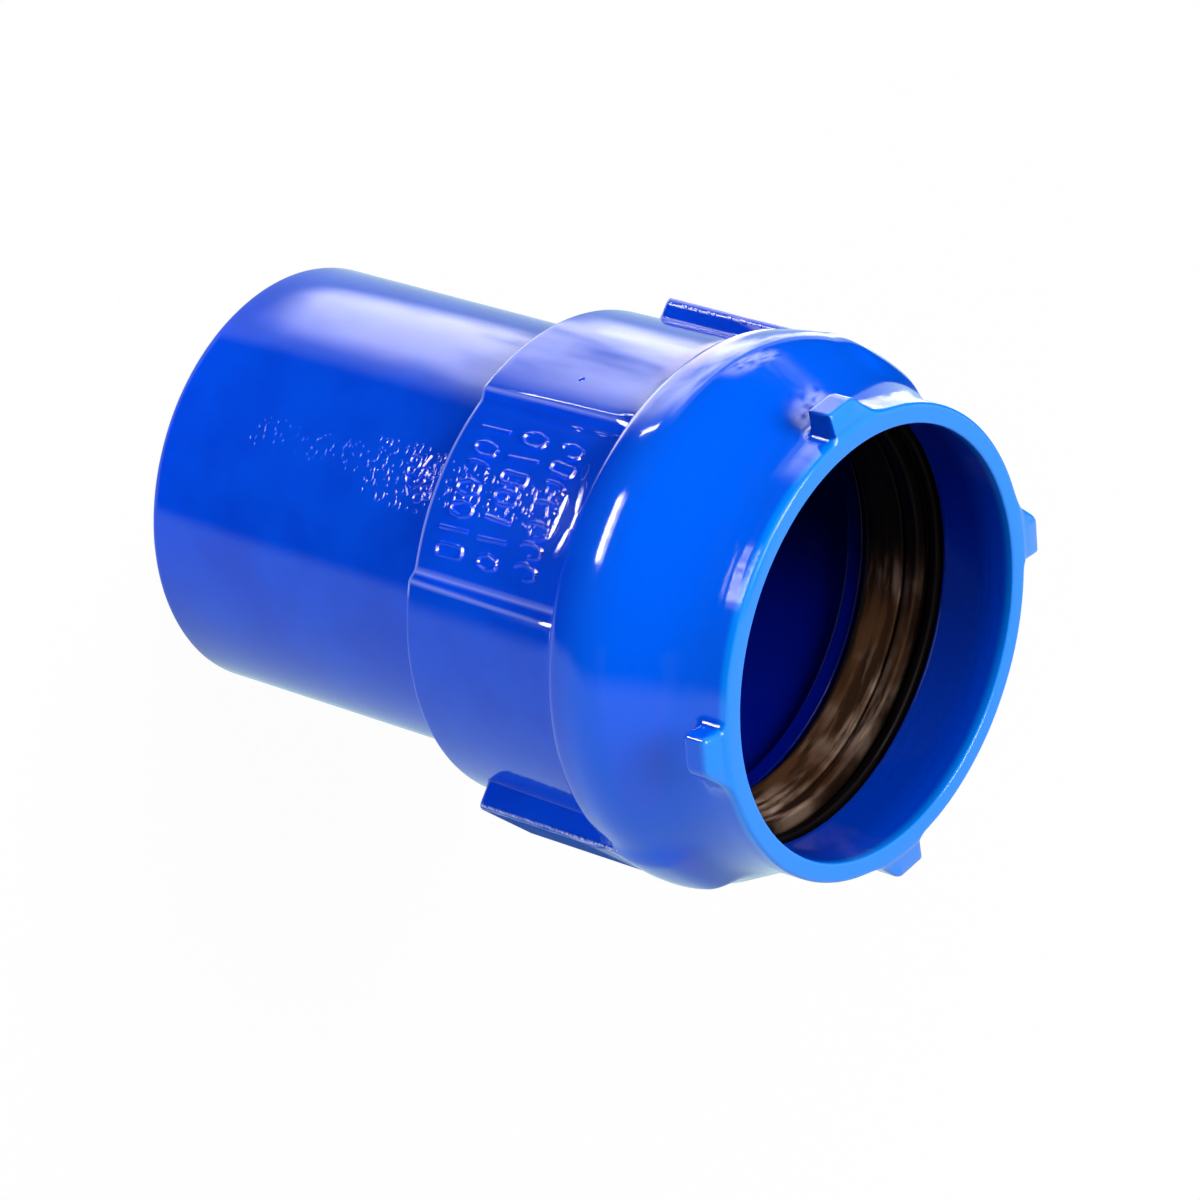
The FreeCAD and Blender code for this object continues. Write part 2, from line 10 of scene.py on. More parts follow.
import logging
import math
from dataclasses import dataclass, field
from enum import Enum
from typing import Sequence

import bmesh
import bpy
import numpy as np
from mathutils import Matrix, Vector

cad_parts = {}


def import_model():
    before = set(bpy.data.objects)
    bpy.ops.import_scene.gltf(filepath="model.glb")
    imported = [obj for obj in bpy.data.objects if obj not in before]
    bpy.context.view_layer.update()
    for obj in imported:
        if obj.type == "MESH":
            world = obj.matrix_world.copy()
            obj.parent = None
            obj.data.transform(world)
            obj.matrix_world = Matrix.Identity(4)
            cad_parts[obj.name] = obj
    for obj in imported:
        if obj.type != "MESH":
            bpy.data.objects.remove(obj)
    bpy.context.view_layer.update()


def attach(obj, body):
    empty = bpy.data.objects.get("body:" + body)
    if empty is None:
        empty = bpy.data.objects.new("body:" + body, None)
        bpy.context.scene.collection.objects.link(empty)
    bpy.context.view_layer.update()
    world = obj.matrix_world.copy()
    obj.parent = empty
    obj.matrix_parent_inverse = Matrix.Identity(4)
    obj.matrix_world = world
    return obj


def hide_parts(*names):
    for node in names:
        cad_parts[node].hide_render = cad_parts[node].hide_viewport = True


LOG = logging.getLogger("adaptor")
MM = 0.001
BODY = "root"
FLOAT = "NodeSocketFloat"
Color = tuple[float, float, float, float]
Place = tuple[float, float, float]
Range = tuple[float, float]
WHITE: Color = (1.0, 1.0, 1.0, 1.0)


class Slot(Enum):
    """The record's material slots."""

    COATING = "coating"
    RUBBER = "rubber"


class Tree:
    """A node tree with short calls to add, set and link its nodes."""

    def __init__(self, tree: bpy.types.NodeTree) -> None:
        """Keep the tree and empty it."""
        self.tree = tree
        tree.nodes.clear()

    def add(self, kind: str, inputs: dict | None = None, **settings: object) -> bpy.types.Node:
        """Add a node.

        Args:
            kind: the node's type name.
            inputs: values or sockets by input name or number.
            settings: the node's own properties.

        Returns:
            The new node.
        """
        node = self.tree.nodes.new(kind)
        for name, value in settings.items():
            setattr(node, name, value)
        for name, value in (inputs or {}).items():
            self.put(node.inputs[name], value)
        return node

    def put(self, socket: bpy.types.NodeSocket, value: object) -> None:
        """Link a socket to an input, or set the input's own value.

        Args:
            socket: the input.
            value: the socket that it reads, or its own value.
        """
        if isinstance(value, bpy.types.NodeSocket):
            self.tree.links.new(value, socket)
        else:
            socket.default_value = value

    def math(self, operation: str, *values: object) -> bpy.types.NodeSocket:
        """Add a Math node and return its result."""
        return self.add("ShaderNodeMath", dict(enumerate(values)), operation=operation).outputs[0]

    def times(self, *values: object) -> bpy.types.NodeSocket:
        """Multiply values.

        Args:
            values: two or more sockets or numbers.

        Returns:
            Their product.
        """
        product = values[0]
        for value in values[1:]:
            product = self.math("MULTIPLY", product, value)
        return product

    def between(self, share: object, low: float, high: float) -> bpy.types.NodeSocket:
        """Go from one value to another by a share from 0 to 1."""
        return self.math("MULTIPLY_ADD", share, high - low, low)

    def centred(self, value: object, reach: object) -> bpy.types.NodeSocket:
        """Turn noise, which lies round a half, into a value round 0 with this reach."""
        return self.times(self.math("SUBTRACT", value, 0.5), reach)

    def vector(self, operation: str, *values: object, scale: object = None) -> bpy.types.NodeSocket:
        """Add a Vector Math node.

        Args:
            operation: what it does.
            values: its vectors.
            scale: its scale, where it has one.

        Returns:
            Its result: a value for a length or a dot product, and else a vector.
        """
        node = self.add("ShaderNodeVectorMath", dict(enumerate(values)), operation=operation)
        if scale is not None:
            self.put(node.inputs["Scale"], scale)
        return node.outputs["Value" if operation in ("LENGTH", "DOT_PRODUCT") else "Vector"]

    def parts(self, vector: object) -> tuple[bpy.types.NodeSocket, ...]:
        """Give a vector's X, Y and Z."""
        return tuple(self.add("ShaderNodeSeparateXYZ", {0: vector}).outputs)

    def joined(self, x: object = 0.0, y: object = 0.0, z: object = 0.0) -> bpy.types.NodeSocket:
        """Make a vector from its X, Y and Z."""
        return self.add("ShaderNodeCombineXYZ", {0: x, 1: y, 2: z}).outputs[0]

    def flat(self, vector: object) -> bpy.types.NodeSocket:
        """Give a vector without its height, so that it points straight away from the axis."""
        return self.vector("MULTIPLY", vector, (1.0, 1.0, 0.0))

    def noise(self, vector: object, scale: object, detail: float, seed: object = 0.0) -> bpy.types.NodeSocket:
        """Add a 4D noise texture.

        Args:
            vector: the place it reads.
            scale: how fine it is.
            detail: how many finer layers it has.
            seed: its fourth coordinate.

        Returns:
            Its value.
        """
        inputs = {"Vector": vector, "W": seed, "Scale": scale, "Detail": detail}
        return self.add("ShaderNodeTexNoise", inputs, noise_dimensions="4D").outputs[0]


class ShadeTree(Tree):
    """A shader tree."""

    def place(self) -> bpy.types.NodeSocket:
        """Give the place on the object, in its own coordinates."""
        return self.add("ShaderNodeTexCoord").outputs["Object"]

    def attribute(self, name: str) -> bpy.types.NodeSocket:
        """Read a value that the mesh carries."""
        return self.add("ShaderNodeAttribute", attribute_name=name).outputs["Fac"]

    def group(self, group: bpy.types.NodeTree, inputs: dict | None = None) -> bpy.types.NodeOutputs:
        """Place a shared group and give its outputs."""
        return self.add("ShaderNodeGroup", inputs, node_tree=group).outputs

    def ramp(self, factor: object, low: float, high: float) -> bpy.types.NodeSocket:
        """Turn a value that runs from low to high into a smooth mask from 0 to 1."""
        inputs = {0: factor, 1: low, 2: high}
        return self.add("ShaderNodeMapRange", inputs, interpolation_type="SMOOTHSTEP").outputs[0]

    def blend(self, factor: object, first: object, second: object) -> bpy.types.NodeSocket:
        """Mix two colours by a mask."""
        inputs = {"Factor": factor, 6: first, 7: second}
        return self.add("ShaderNodeMix", inputs, data_type="RGBA").outputs[2]

    def bump(self, distance: float, height: object) -> bpy.types.NodeSocket:
        """Turn a height into a bent normal."""
        inputs = {"Strength": 1.0, "Distance": distance, "Height": height}
        return self.add("ShaderNodeBump", inputs).outputs[0]

    def mixed(self, factor: object, first: bpy.types.Node, second: bpy.types.Node) -> bpy.types.NodeSocket:
        """Mix two shaders by a mask."""
        inputs = {0: factor, 1: first.outputs[0], 2: second.outputs[0]}
        return self.add("ShaderNodeMixShader", inputs).outputs[0]

    def seen_directly(self) -> bpy.types.NodeSocket:
        """Tell looks from light.

        Returns:
            1 where the camera, a gloss or a clear material looks, and 0 for light that spreads.
        """
        path = self.add("ShaderNodeLightPath").outputs
        rays = self.math("ADD", path["Is Camera Ray"], path["Is Glossy Ray"])
        rays = self.math("ADD", rays, path["Is Transmission Ray"])
        return self.math("MINIMUM", rays, 1.0)


class FinishTree(ShadeTree):
    """A material's tree, which knows the spot that it colours, in the object's own coordinates."""

    def __init__(self, tree: bpy.types.NodeTree) -> None:
        """Read the spot, its X, Y and height, and its distance from the axis.

        Args:
            tree: the material's node tree.
        """
        super().__init__(tree)
        self.spot = self.place()
        self.x, self.y, self.height = self.parts(self.spot)
        self.radius = self.vector("LENGTH", self.flat(self.spot))

    def towards(self, side: Place) -> bpy.types.NodeSocket:
        """Say how far the spot lies towards a side."""
        return self.vector("DOT_PRODUCT", self.spot, side)


class ShapeTree(Tree):
    """A Geometry Nodes tree."""

    def position(self) -> bpy.types.NodeSocket:
        """Give each point's place."""
        return self.add("GeometryNodeInputPosition").outputs[0]

    def normal(self) -> bpy.types.NodeSocket:
        """Give each point's normal."""
        return self.add("GeometryNodeInputNormal").outputs[0]

    def carried(self, name: str, kind: str) -> bpy.types.NodeSocket:
        """Read a named attribute of the points."""
        return self.add("GeometryNodeInputNamedAttribute", {"Name": name}, data_type=kind).outputs[0]

    def moved(self, geometry: object, offset: object) -> bpy.types.NodeSocket:
        """Move points by an offset."""
        return self.add("GeometryNodeSetPosition", {0: geometry, "Offset": offset}).outputs[0]

    def laid(self, geometry: object, place: object) -> bpy.types.NodeSocket:
        """Put points at their new place."""
        return self.add("GeometryNodeSetPosition", {0: geometry, "Position": place}).outputs[0]

    def random(self, kind: str, low: object, high: object, seed: object) -> bpy.types.NodeSocket:
        """Draw a value for each element.

        Args:
            kind: the node's data type.
            low: the least value.
            high: the greatest value.
            seed: the draw's seed.

        Returns:
            The drawn value.
        """
        first, result = {"FLOAT_VECTOR": (0, 0), "FLOAT": (2, 1), "INT": (4, 2)}[kind]
        inputs = {first: low, first + 1: high, "Seed": seed}
        return self.add("FunctionNodeRandomValue", inputs, data_type=kind).outputs[result]

    def turned(self, rotation: object, axis: Place, angle: object) -> bpy.types.NodeSocket:
        """Turn a rotation further about its own axis.

        Args:
            rotation: the rotation so far.
            axis: the axis, as the turned thing sees it.
            angle: how far to turn.

        Returns:
            The new rotation.
        """
        spin = self.add("FunctionNodeAxisAngleToRotation", {"Axis": axis, "Angle": angle})
        inputs = {"Rotation": rotation, "Rotate By": spin.outputs[0]}
        return self.add("FunctionNodeRotateRotation", inputs, rotation_space="LOCAL").outputs[0]

    def close(self, geometry: object, given: bpy.types.Node, out: bpy.types.Node) -> None:
        """End the tree with Realize Instances and Set Material.

        Args:
            geometry: what the tree has made.
            given: its input node.
            out: its output node.
        """
        real = self.add("GeometryNodeRealizeInstances", {0: geometry})
        smooth = self.add("GeometryNodeSetShadeSmooth", {0: real.outputs[0]})
        inputs = {0: smooth.outputs[0], "Material": given.outputs["Material"]}
        self.put(out.inputs[0], self.add("GeometryNodeSetMaterial", inputs).outputs[0])


class GroupKind(Enum):
    """The two kinds of node group."""

    SHADE = "ShaderNodeTree"
    SHAPE = "GeometryNodeTree"


def new_group(name: str, kind: GroupKind, inputs: Sequence[tuple], outputs: Sequence[tuple]) -> tuple:
    """Make a node group with named sockets.

    Args:
        name: the group's name.
        kind: what it works on.
        inputs: name, socket type and start value of each input.
        outputs: name and socket type of each output.

    Returns:
        The tree, the group's input node and its output node.
    """
    group = bpy.data.node_groups.new(name, kind.value)
    for label, socket_type, start in inputs:
        socket = group.interface.new_socket(name=label, in_out="INPUT", socket_type=socket_type)
        if start is not None:
            socket.default_value = start
    for label, socket_type in outputs:
        group.interface.new_socket(name=label, in_out="OUTPUT", socket_type=socket_type)
    tree = ShadeTree(group) if kind is GroupKind.SHADE else ShapeTree(group)
    return tree, tree.add("NodeGroupInput"), tree.add("NodeGroupOutput")


def new_material(name: str) -> tuple[bpy.types.Material, FinishTree, bpy.types.NodeSocket]:
    """Make an empty material.

    Args:
        name: the material's name.

    Returns:
        The material, its tree and the socket that takes its shader.
    """
    material = bpy.data.materials.new(name)
    material.use_nodes = True
    tree = FinishTree(material.node_tree)
    return material, tree, tree.add("ShaderNodeOutputMaterial").inputs["Surface"]


class ShaderParts:
    """The shader node groups that the finishes share."""

    peel_share: float = 0.5
    speck_share: float = 0.2
    speck_height: float = 6.0

    def __init__(self) -> None:
        """Build each group once."""
        self.streaks = self.build_streaks()
        self.grain = self.build_grain()

    def build_streaks(self) -> bpy.types.NodeTree:
        """Make fine lines that run round the axis: noise pressed flat along it, as a value.

        Returns:
            The group.
        """
        inputs = [("Round Scale", FLOAT, 30.0), ("Height Scale", FLOAT, 600.0), ("Seed", FLOAT, 1.0)]
        tree, given, out = new_group("round_streaks", GroupKind.SHADE, inputs, [("Value", FLOAT)])
        get = given.outputs
        scales = tree.joined(get["Round Scale"], get["Round Scale"], get["Height Scale"])
        pressed = tree.vector("MULTIPLY", tree.place(), scales)
        tree.put(out.inputs[0], tree.noise(pressed, 1.0, 3.0, get["Seed"]))
        return tree.tree

    def build_grain(self) -> bpy.types.NodeTree:
        """Make uneven skin: a slow wave, a fine peel and single specks.

        Returns:
            The group, which gives a height and a mottle mask.
        """
        inputs = [
            ("Wave Scale", FLOAT, 40.0),
            ("Peel Scale", FLOAT, 400.0),
            ("Speck Scale", FLOAT, 120.0),
            ("Speck Size", FLOAT, 0.12),
            ("Seed", FLOAT, 3.0),
        ]
        outputs = [("Height", FLOAT), ("Mottle", FLOAT)]
        tree, given, out = new_group("uneven_skin", GroupKind.SHADE, inputs, outputs)
        get = given.outputs
        place = tree.place()
        wave = tree.noise(place, get["Wave Scale"], 3.0, get["Seed"])
        peel = tree.noise(place, get["Peel Scale"], 1.0, get["Seed"])
        cells = tree.add("ShaderNodeTexVoronoi", {"Vector": place, "Scale": get["Speck Scale"]}).outputs
        bump = tree.math("MAXIMUM", tree.math("SUBTRACT", get["Speck Size"], cells["Distance"]), 0.0)
        chance = tree.add("ShaderNodeSeparateColor", {0: cells["Color"]}).outputs[0]
        speck = tree.times(bump, tree.math("GREATER_THAN", chance, 1.0 - self.speck_share))
        height = tree.math("MULTIPLY_ADD", peel, self.peel_share, wave)
        tree.put(out.inputs["Height"], tree.math("MULTIPLY_ADD", speck, self.speck_height, height))
        tree.put(out.inputs["Mottle"], wave)
        return tree.tree


@dataclass(frozen=True)
class CoatingFinish:
    """Glossy blue coating with painted light: painted highlights on edges, a bulge and lip painted lighter,
    and painted shade in corners and inside the bore.

    A pair whose name ends in from, foot, end, front or reach is where a mask starts and where it
    is full: in metres on the object, or as a value of noise.
    """

    name: str = "blue_coating"
    deep: Color = (0.0, 0.053, 0.64, 1.0)
    bright: Color = (0.0, 0.067, 0.71, 1.0)
    mottle_from: Range = (0.35, 0.65)
    # Painted light: the bulge is painted lighter and greener where more of the key lamp falls on it.
    bulge: Color = (0.0, 0.1, 0.82, 1.0)
    lit_bulge_from: Range = (0.157, 0.172)
    # Painted light: the lip's top face and the lugs' front faces, which face the key lamp, are painted
    # lighter.
    lit_top_colour: Color = (0.0, 0.235, 0.97, 1.0)
    lit_top_from: Range = (0.2080, 0.2105)
    # Painted shade: corners and creases are painted darker.
    painted_corner_shade: Color = (0.0, 0.03, 0.42, 1.0)
    corner_shade_share: float = 0.5
    # Painted highlight: edges, the panel's rims and its lower foot are painted pale; the same pale colour
    # marks the scratches on the near bar's worn face.
    pale_scratch_and_highlight: Color = (0.45, 0.55, 1.0, 1.0)
    edge_highlight_share: float = 0.7
    # Painted shade: the bore is painted darker, the chamber darker still, and the chamber's side that gets
    # least light nearly black.
    shaded: Color = (0.0, 0.006, 0.42, 1.0)
    shaded_share: float = 0.5
    collar_from: Range = (0.1, 0.104)
    rim_from: Range = (0.2112, 0.2085)
    inside_from: Range = (0.0636, 0.0626)
    chamber: Color = (0.0, 0.001, 0.19, 1.0)
    chamber_shade_share: float = 0.85
    chamber_from: Range = (0.1636, 0.1618)
    chamber_gloss: float = 0.3
    unlit: Color = (0.0, 0.0, 0.02, 1.0)
    unlit_side: Place = (-0.94, 0.34, 0.0)
    unlit_from: Range = (0.03, 0.058)
    worn_face: Color = (0.01, 0.09, 0.5, 1.0)
    worn_face_from: Range = (0.0752, 0.0758)
    worn_face_end: Range = (0.162, 0.152)
    scratch_scales: Place = (200.0, 1300.0, 60.0)
    scratch_from: Range = (0.6, 0.84)
    ridge_from: Range = (-0.0122, -0.0132)
    ridge_share: float = 0.3
    # Painted shade: the lug's radial side nearest the panel is painted darker, and its gloss is taken off.
    lug_side: Place = (0.7923, -0.6101, 0.0)
    lug_side_reach: Range = (0.0009, 0.0005)
    lug_from: Range = (0.0670, 0.0676)
    lug_foot: Range = (0.2024, 0.2030)
    lug_side_shade: Color = (0.0, 0.035, 0.36, 1.0)
    worn_gloss: float = 0.05
    streaked_front: Range = (-0.0635, -0.0652)
    streaked_from: Range = (0.189, 0.195)
    streaked_gloss: float = 0.5
    streaked_loss: float = 0.98
    streak_scales: Range = (40.0, 420.0)
    streak_seed: float = 6.0
    streak_from: Range = (0.45, 0.54)
    brushed_scale: float = 45.0
    brushed_from: Range = (0.162, 0.176)
    brushed_depth: float = 0.8
    roughness: Range = (0.30, 0.42)
    bump: float = 0.00012
    specular: float = 0.0
    coat: float = 0.8
    coat_roughness: float = 0.08

    def build(self, parts: ShaderParts) -> bpy.types.Material:
        """Make the material.

        Args:
            parts: the shared shader groups.

        Returns:
            The material.
        """
        material, tree, surface = new_material(self.name)
        grain = tree.group(parts.grain)
        mottle = tree.ramp(grain["Mottle"], *self.mottle_from)
        worn = tree.ramp(tree.height, *self.worn_face_end)
        worn = tree.times(tree.ramp(tree.x, *self.worn_face_from), worn)
        lug = self.lug_mask(tree)
        colour = self.darkened(tree, self.coated(tree, mottle))
        colour = tree.blend(worn, colour, self.scratched(tree))
        # painted shade on the lug's side nearest the panel
        colour = tree.blend(lug, colour, self.lug_side_shade)
        lines = tree.group(parts.streaks, {"Round Scale": self.brushed_scale})[0]
        brushed = tree.times(tree.ramp(tree.height, *self.brushed_from), self.brushed_depth)
        relief = tree.math("MULTIPLY_ADD", lines, brushed, grain["Height"])
        shine = tree.between(tree.math("MAXIMUM", worn, lug), 1.0, self.worn_gloss)
        shader = tree.add("ShaderNodeBsdfPrincipled", {
            "Base Color": colour,
            "Roughness": tree.between(mottle, *self.roughness),
            "Specular IOR Level": self.specular,
            "Coat Weight": tree.times(self.streaked(tree, parts), shine, self.coat),
            "Coat Roughness": self.coat_roughness,
            "Normal": tree.bump(self.bump, relief),
        })
        tree.put(surface, shader.outputs[0])
        return material

    def coated(self, tree: FinishTree, mottle: object) -> bpy.types.NodeSocket:
        """Mix the colour of the coating on the outside.

        Args:
            tree: the material's tree.
            mottle: the slow mask that varies the blue.

        Returns:
            The colour, with painted highlights on edges, painted shade in corners, and the bulge and the lip
            painted lighter where more light falls.
        """
        colour = tree.blend(mottle, self.deep, self.bright)
        # painted light: the bulge and the lip's face are painted lighter
        colour = tree.blend(tree.ramp(tree.height, *self.lit_bulge_from), colour, self.bulge)
        colour = tree.blend(tree.ramp(tree.height, *self.lit_top_from), colour, self.lit_top_colour)
        # painted shade in the hollows
        colour = tree.blend(tree.times(tree.attribute("hollow"), self.corner_shade_share), colour, self.painted_corner_shade)
        # painted highlights along edges
        return tree.blend(tree.times(tree.attribute("edge"), self.edge_highlight_share), colour, self.pale_scratch_and_highlight)

    def darkened(self, tree: FinishTree, colour: object) -> bpy.types.NodeSocket:
        """Paint shade into the coating inside the bore, most in the chamber and on the chamber's side that
        gets least light.

        Args:
            tree: the material's tree.
            colour: the colour so far.

        Returns:
            The colour with painted shade.
        """
        chamber = tree.ramp(tree.height, *self.chamber_from)
        amount = self.inside_mask(tree)
        colour = tree.blend(tree.times(amount, self.shaded_share), colour, self.shaded)
        colour = tree.blend(tree.times(chamber, self.chamber_shade_share, amount), colour, self.chamber)
        unlit = tree.ramp(tree.towards(self.unlit_side), *self.unlit_from)
        return tree.blend(tree.times(unlit, chamber, amount), colour, self.unlit)

    def scratched(self, tree: FinishTree) -> bpy.types.NodeSocket:
        """Mix the colour of the near bar's worn face.

        Args:
            tree: the material's tree.

        Returns:
            The colour, scratched lengthwise and most at the bar's ridge.
        """
        noise = tree.noise(tree.vector("MULTIPLY", tree.spot, self.scratch_scales), 1.0, 3.0)
        ridge = tree.times(tree.ramp(tree.y, *self.ridge_from), self.ridge_share)
        scratches = tree.ramp(tree.math("ADD", ridge, noise), *self.scratch_from)
        return tree.blend(scratches, self.worn_face, self.pale_scratch_and_highlight)

    def lug_mask(self, tree: FinishTree) -> bpy.types.NodeSocket:
        """Find the radial side of the lug nearest the panel, which is made dull and gets painted shade.

        Args:
            tree: the material's tree.

        Returns:
            1 on that side, and 0 elsewhere.
        """
        near = tree.ramp(tree.math("ABSOLUTE", tree.towards(self.lug_side)), *self.lug_side_reach)
        beyond = tree.times(tree.ramp(tree.radius, *self.lug_from), tree.ramp(tree.height, *self.lug_foot))
        return tree.times(near, beyond)

    def streaked(self, tree: FinishTree, parts: ShaderParts) -> bpy.types.NodeSocket:
        """Break the gloss up in brushed lines on the front of the neck, and dull it in the chamber.

        Args:
            tree: the material's tree.
            parts: the shared shader groups.

        Returns:
            The share of gloss that is left.
        """
        around, axial = self.streak_scales
        inputs = {"Round Scale": around, "Height Scale": axial, "Seed": self.streak_seed}
        lines = tree.group(parts.streaks, inputs)[0]
        front = tree.ramp(tree.y, *self.streaked_front)
        patch = tree.times(front, tree.ramp(tree.height, *self.streaked_from))
        kept = tree.times(tree.ramp(lines, *self.streak_from), self.streaked_gloss)
        lost = tree.times(patch, tree.math("SUBTRACT", self.streaked_loss, kept))
        deep = tree.times(self.inside_mask(tree), tree.ramp(tree.height, *self.chamber_from))
        dull = tree.between(deep, 1.0, self.chamber_gloss)
        return tree.times(dull, tree.math("SUBTRACT", 1.0, lost))

    def inside_mask(self, tree: FinishTree) -> bpy.types.NodeSocket:
        """Find the socket's bore and chamber.

        Args:
            tree: the material's tree.

        Returns:
            1 in them, and 0 outside and in the spigot.
        """
        within = tree.times(tree.ramp(tree.height, *self.collar_from), tree.ramp(tree.height, *self.rim_from))
        return tree.times(tree.ramp(tree.radius, *self.inside_from), within)


@dataclass(frozen=True)
class RubberFinish:
    """Black moulded rubber whose sealing bands carry a brown and grey bloom in streaks, painted only on the
    side that the key lamp lights, as a painted sheen.
    """

    name: str = "black_rubber"
    black: Color = (0.002, 0.001, 0.001, 1.0)
    # Painted sheen: the brown and grey bloom is painted only on the side that the key lamp lights, so the
    # shaded top stays black.
    brown: Color = (0.06, 0.026, 0.011, 1.0)
    brown_least: float = 0.4
    grey: Color = (0.26, 0.18, 0.13, 1.0)
    grey_from: Range = (0.44, 0.62)
    patch_scale: float = 34.0
    streak_scales: Range = (60.0, 500.0)
    streak_from: Range = (0.38, 0.62)
    band_top: Range = (0.1808, 0.1796)
    key_lit_side: Place = (0.34, 0.94, 0.0)
    key_lit_from: Range = (0.030, 0.050)
    roughness: Range = (0.42, 0.62)
    specular: float = 0.05
    bump: float = 0.0002

    def build(self, parts: ShaderParts) -> bpy.types.Material:
        """Make the material.

        Args:
            parts: the shared shader groups.

        Returns:
            The material.
        """
        material, tree, surface = new_material(self.name)
        around, axial = self.streak_scales
        streak = tree.group(parts.streaks, {"Round Scale": around, "Height Scale": axial})[0]
        lines = tree.ramp(streak, *self.streak_from)
        # the bloom is masked to the side the key lamp lights: a painted sheen
        worn = tree.ramp(tree.towards(self.key_lit_side), *self.key_lit_from)
        band = tree.times(tree.ramp(tree.height, *self.band_top), worn)
        brown = tree.times(band, tree.between(lines, self.brown_least, 1.0))
        patch = tree.ramp(tree.noise(tree.spot, self.patch_scale, 3.0), *self.grey_from)
        colour = tree.blend(brown, self.black, self.brown)
        colour = tree.blend(tree.times(lines, band, patch), colour, self.grey)
        shader = tree.add("ShaderNodeBsdfPrincipled", {
            "Base Color": colour,
            "Roughness": tree.between(lines, *self.roughness),
            "Specular IOR Level": self.specular,
            "Normal": tree.bump(self.bump, streak),
        })
        tree.put(surface, shader.outputs[0])
        return material


@dataclass(frozen=True)
class FloorFinish:
    """Plain white floor that keeps a faint shadow near the object."""

    name: str = "white_floor"
    paint: Color = (0.85, 0.85, 0.85, 1.0)
    near_white: float = 0.975
    fade: Range = (0.25, 0.7)
    mirrored: Color = (0.8, 1.05, 1.0, 1.0)

    def build(self) -> bpy.types.Material:
        """Make the material.

        Returns:
            The material.
        """
        material, tree, surface = new_material(self.name)
        far = tree.ramp(tree.vector("LENGTH", tree.spot), *self.fade)
        white = tree.between(far, self.near_white, 1.0)
        camera = tree.add("ShaderNodeLightPath").outputs["Is Camera Ray"]
        shown = tree.blend(camera, self.mirrored, WHITE)
        paint = tree.add("ShaderNodeBsdfDiffuse", {"Color": self.paint})
        glow = tree.add("ShaderNodeEmission", {"Color": shown, "Strength": 1.0})
        tree.put(surface, tree.mixed(tree.times(tree.seen_directly(), white), paint, glow))
        return material


def mesh_object(name: str, vertices: np.ndarray, faces: Sequence) -> bpy.types.Object:
    """Make a smooth-shaded mesh object at the origin.

    Args:
        name: the object's name.
        vertices: corner places in millimetres, one row each.
        faces: the corners of each face, or none for loose points.

    Returns:
        The linked object.
    """
    mesh = bpy.data.meshes.new(name)
    mesh.from_pydata((np.asarray(vertices) * MM).tolist(), [], [tuple(face) for face in faces])
    mesh.shade_smooth()
    piece = bpy.data.objects.new(name, mesh)
    bpy.context.scene.collection.objects.link(piece)
    return piece


def grid_faces(index: np.ndarray, ring: bool = False) -> list:
    """List the faces of a grid.

    Args:
        index: the number of each corner, by row and column.
        ring: whether the last row and column meet the first again.

    Returns:
        The four corners of each face.
    """
    if ring:
        index = np.pad(index, ((0, 1), (0, 1)), "wrap")
    corners = [index[:-1, :-1], index[:-1, 1:], index[1:, 1:], index[1:, :-1]]
    return np.stack(corners, -1).reshape(-1, 4).tolist()


def set_inputs(modifier: bpy.types.Modifier, values: dict[str, object]) -> None:
    """Set a Geometry Nodes modifier's inputs by the identifiers of their sockets.

    Args:
        modifier: the modifier.
        values: the inputs' values by name.
    """
    for item in modifier.node_group.interface.items_tree:
        if item.item_type == "SOCKET" and item.in_out == "INPUT" and item.name in values:
            modifier[item.identifier] = values[item.name]


def grow(piece: bpy.types.Object, tree: bpy.types.NodeTree, values: dict[str, object]) -> bpy.types.Object:
    """Run a Geometry Nodes tree on an object and keep the result as its plain mesh.

    Args:
        piece: the object whose mesh goes in.
        tree: the geometry tree.
        values: the tree's inputs by name.

    Returns:
        The same object with its new mesh and no modifier.
    """
    modifier = piece.modifiers.new(tree.name, "NODES")
    modifier.node_group = tree
    set_inputs(modifier, values)
    depsgraph = bpy.context.evaluated_depsgraph_get()
    mesh = bpy.data.meshes.new_from_object(piece.evaluated_get(depsgraph))
    piece.modifiers.remove(modifier)
    piece.data = mesh
    mesh.name = piece.name
    return piece


def finish_piece(piece: bpy.types.Object, replaced: Sequence[str] = ()) -> None:
    """Register a finished piece with the frame and report it.

    Args:
        piece: the finished piece.
        replaced: the CAD nodes that it stands for.
    """
    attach(piece, BODY)
    if replaced:
        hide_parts(*replaced)
    piece.data.calc_loop_triangles()
    LOG.info("%s: %d triangles", piece.name, len(piece.data.loop_triangles))


@dataclass(frozen=True)
class Corner:
    """One corner of a turned section: its radius, height, rounding and whether it is outside."""

    radius: float
    height: float
    rounding: float
    outside: bool = False


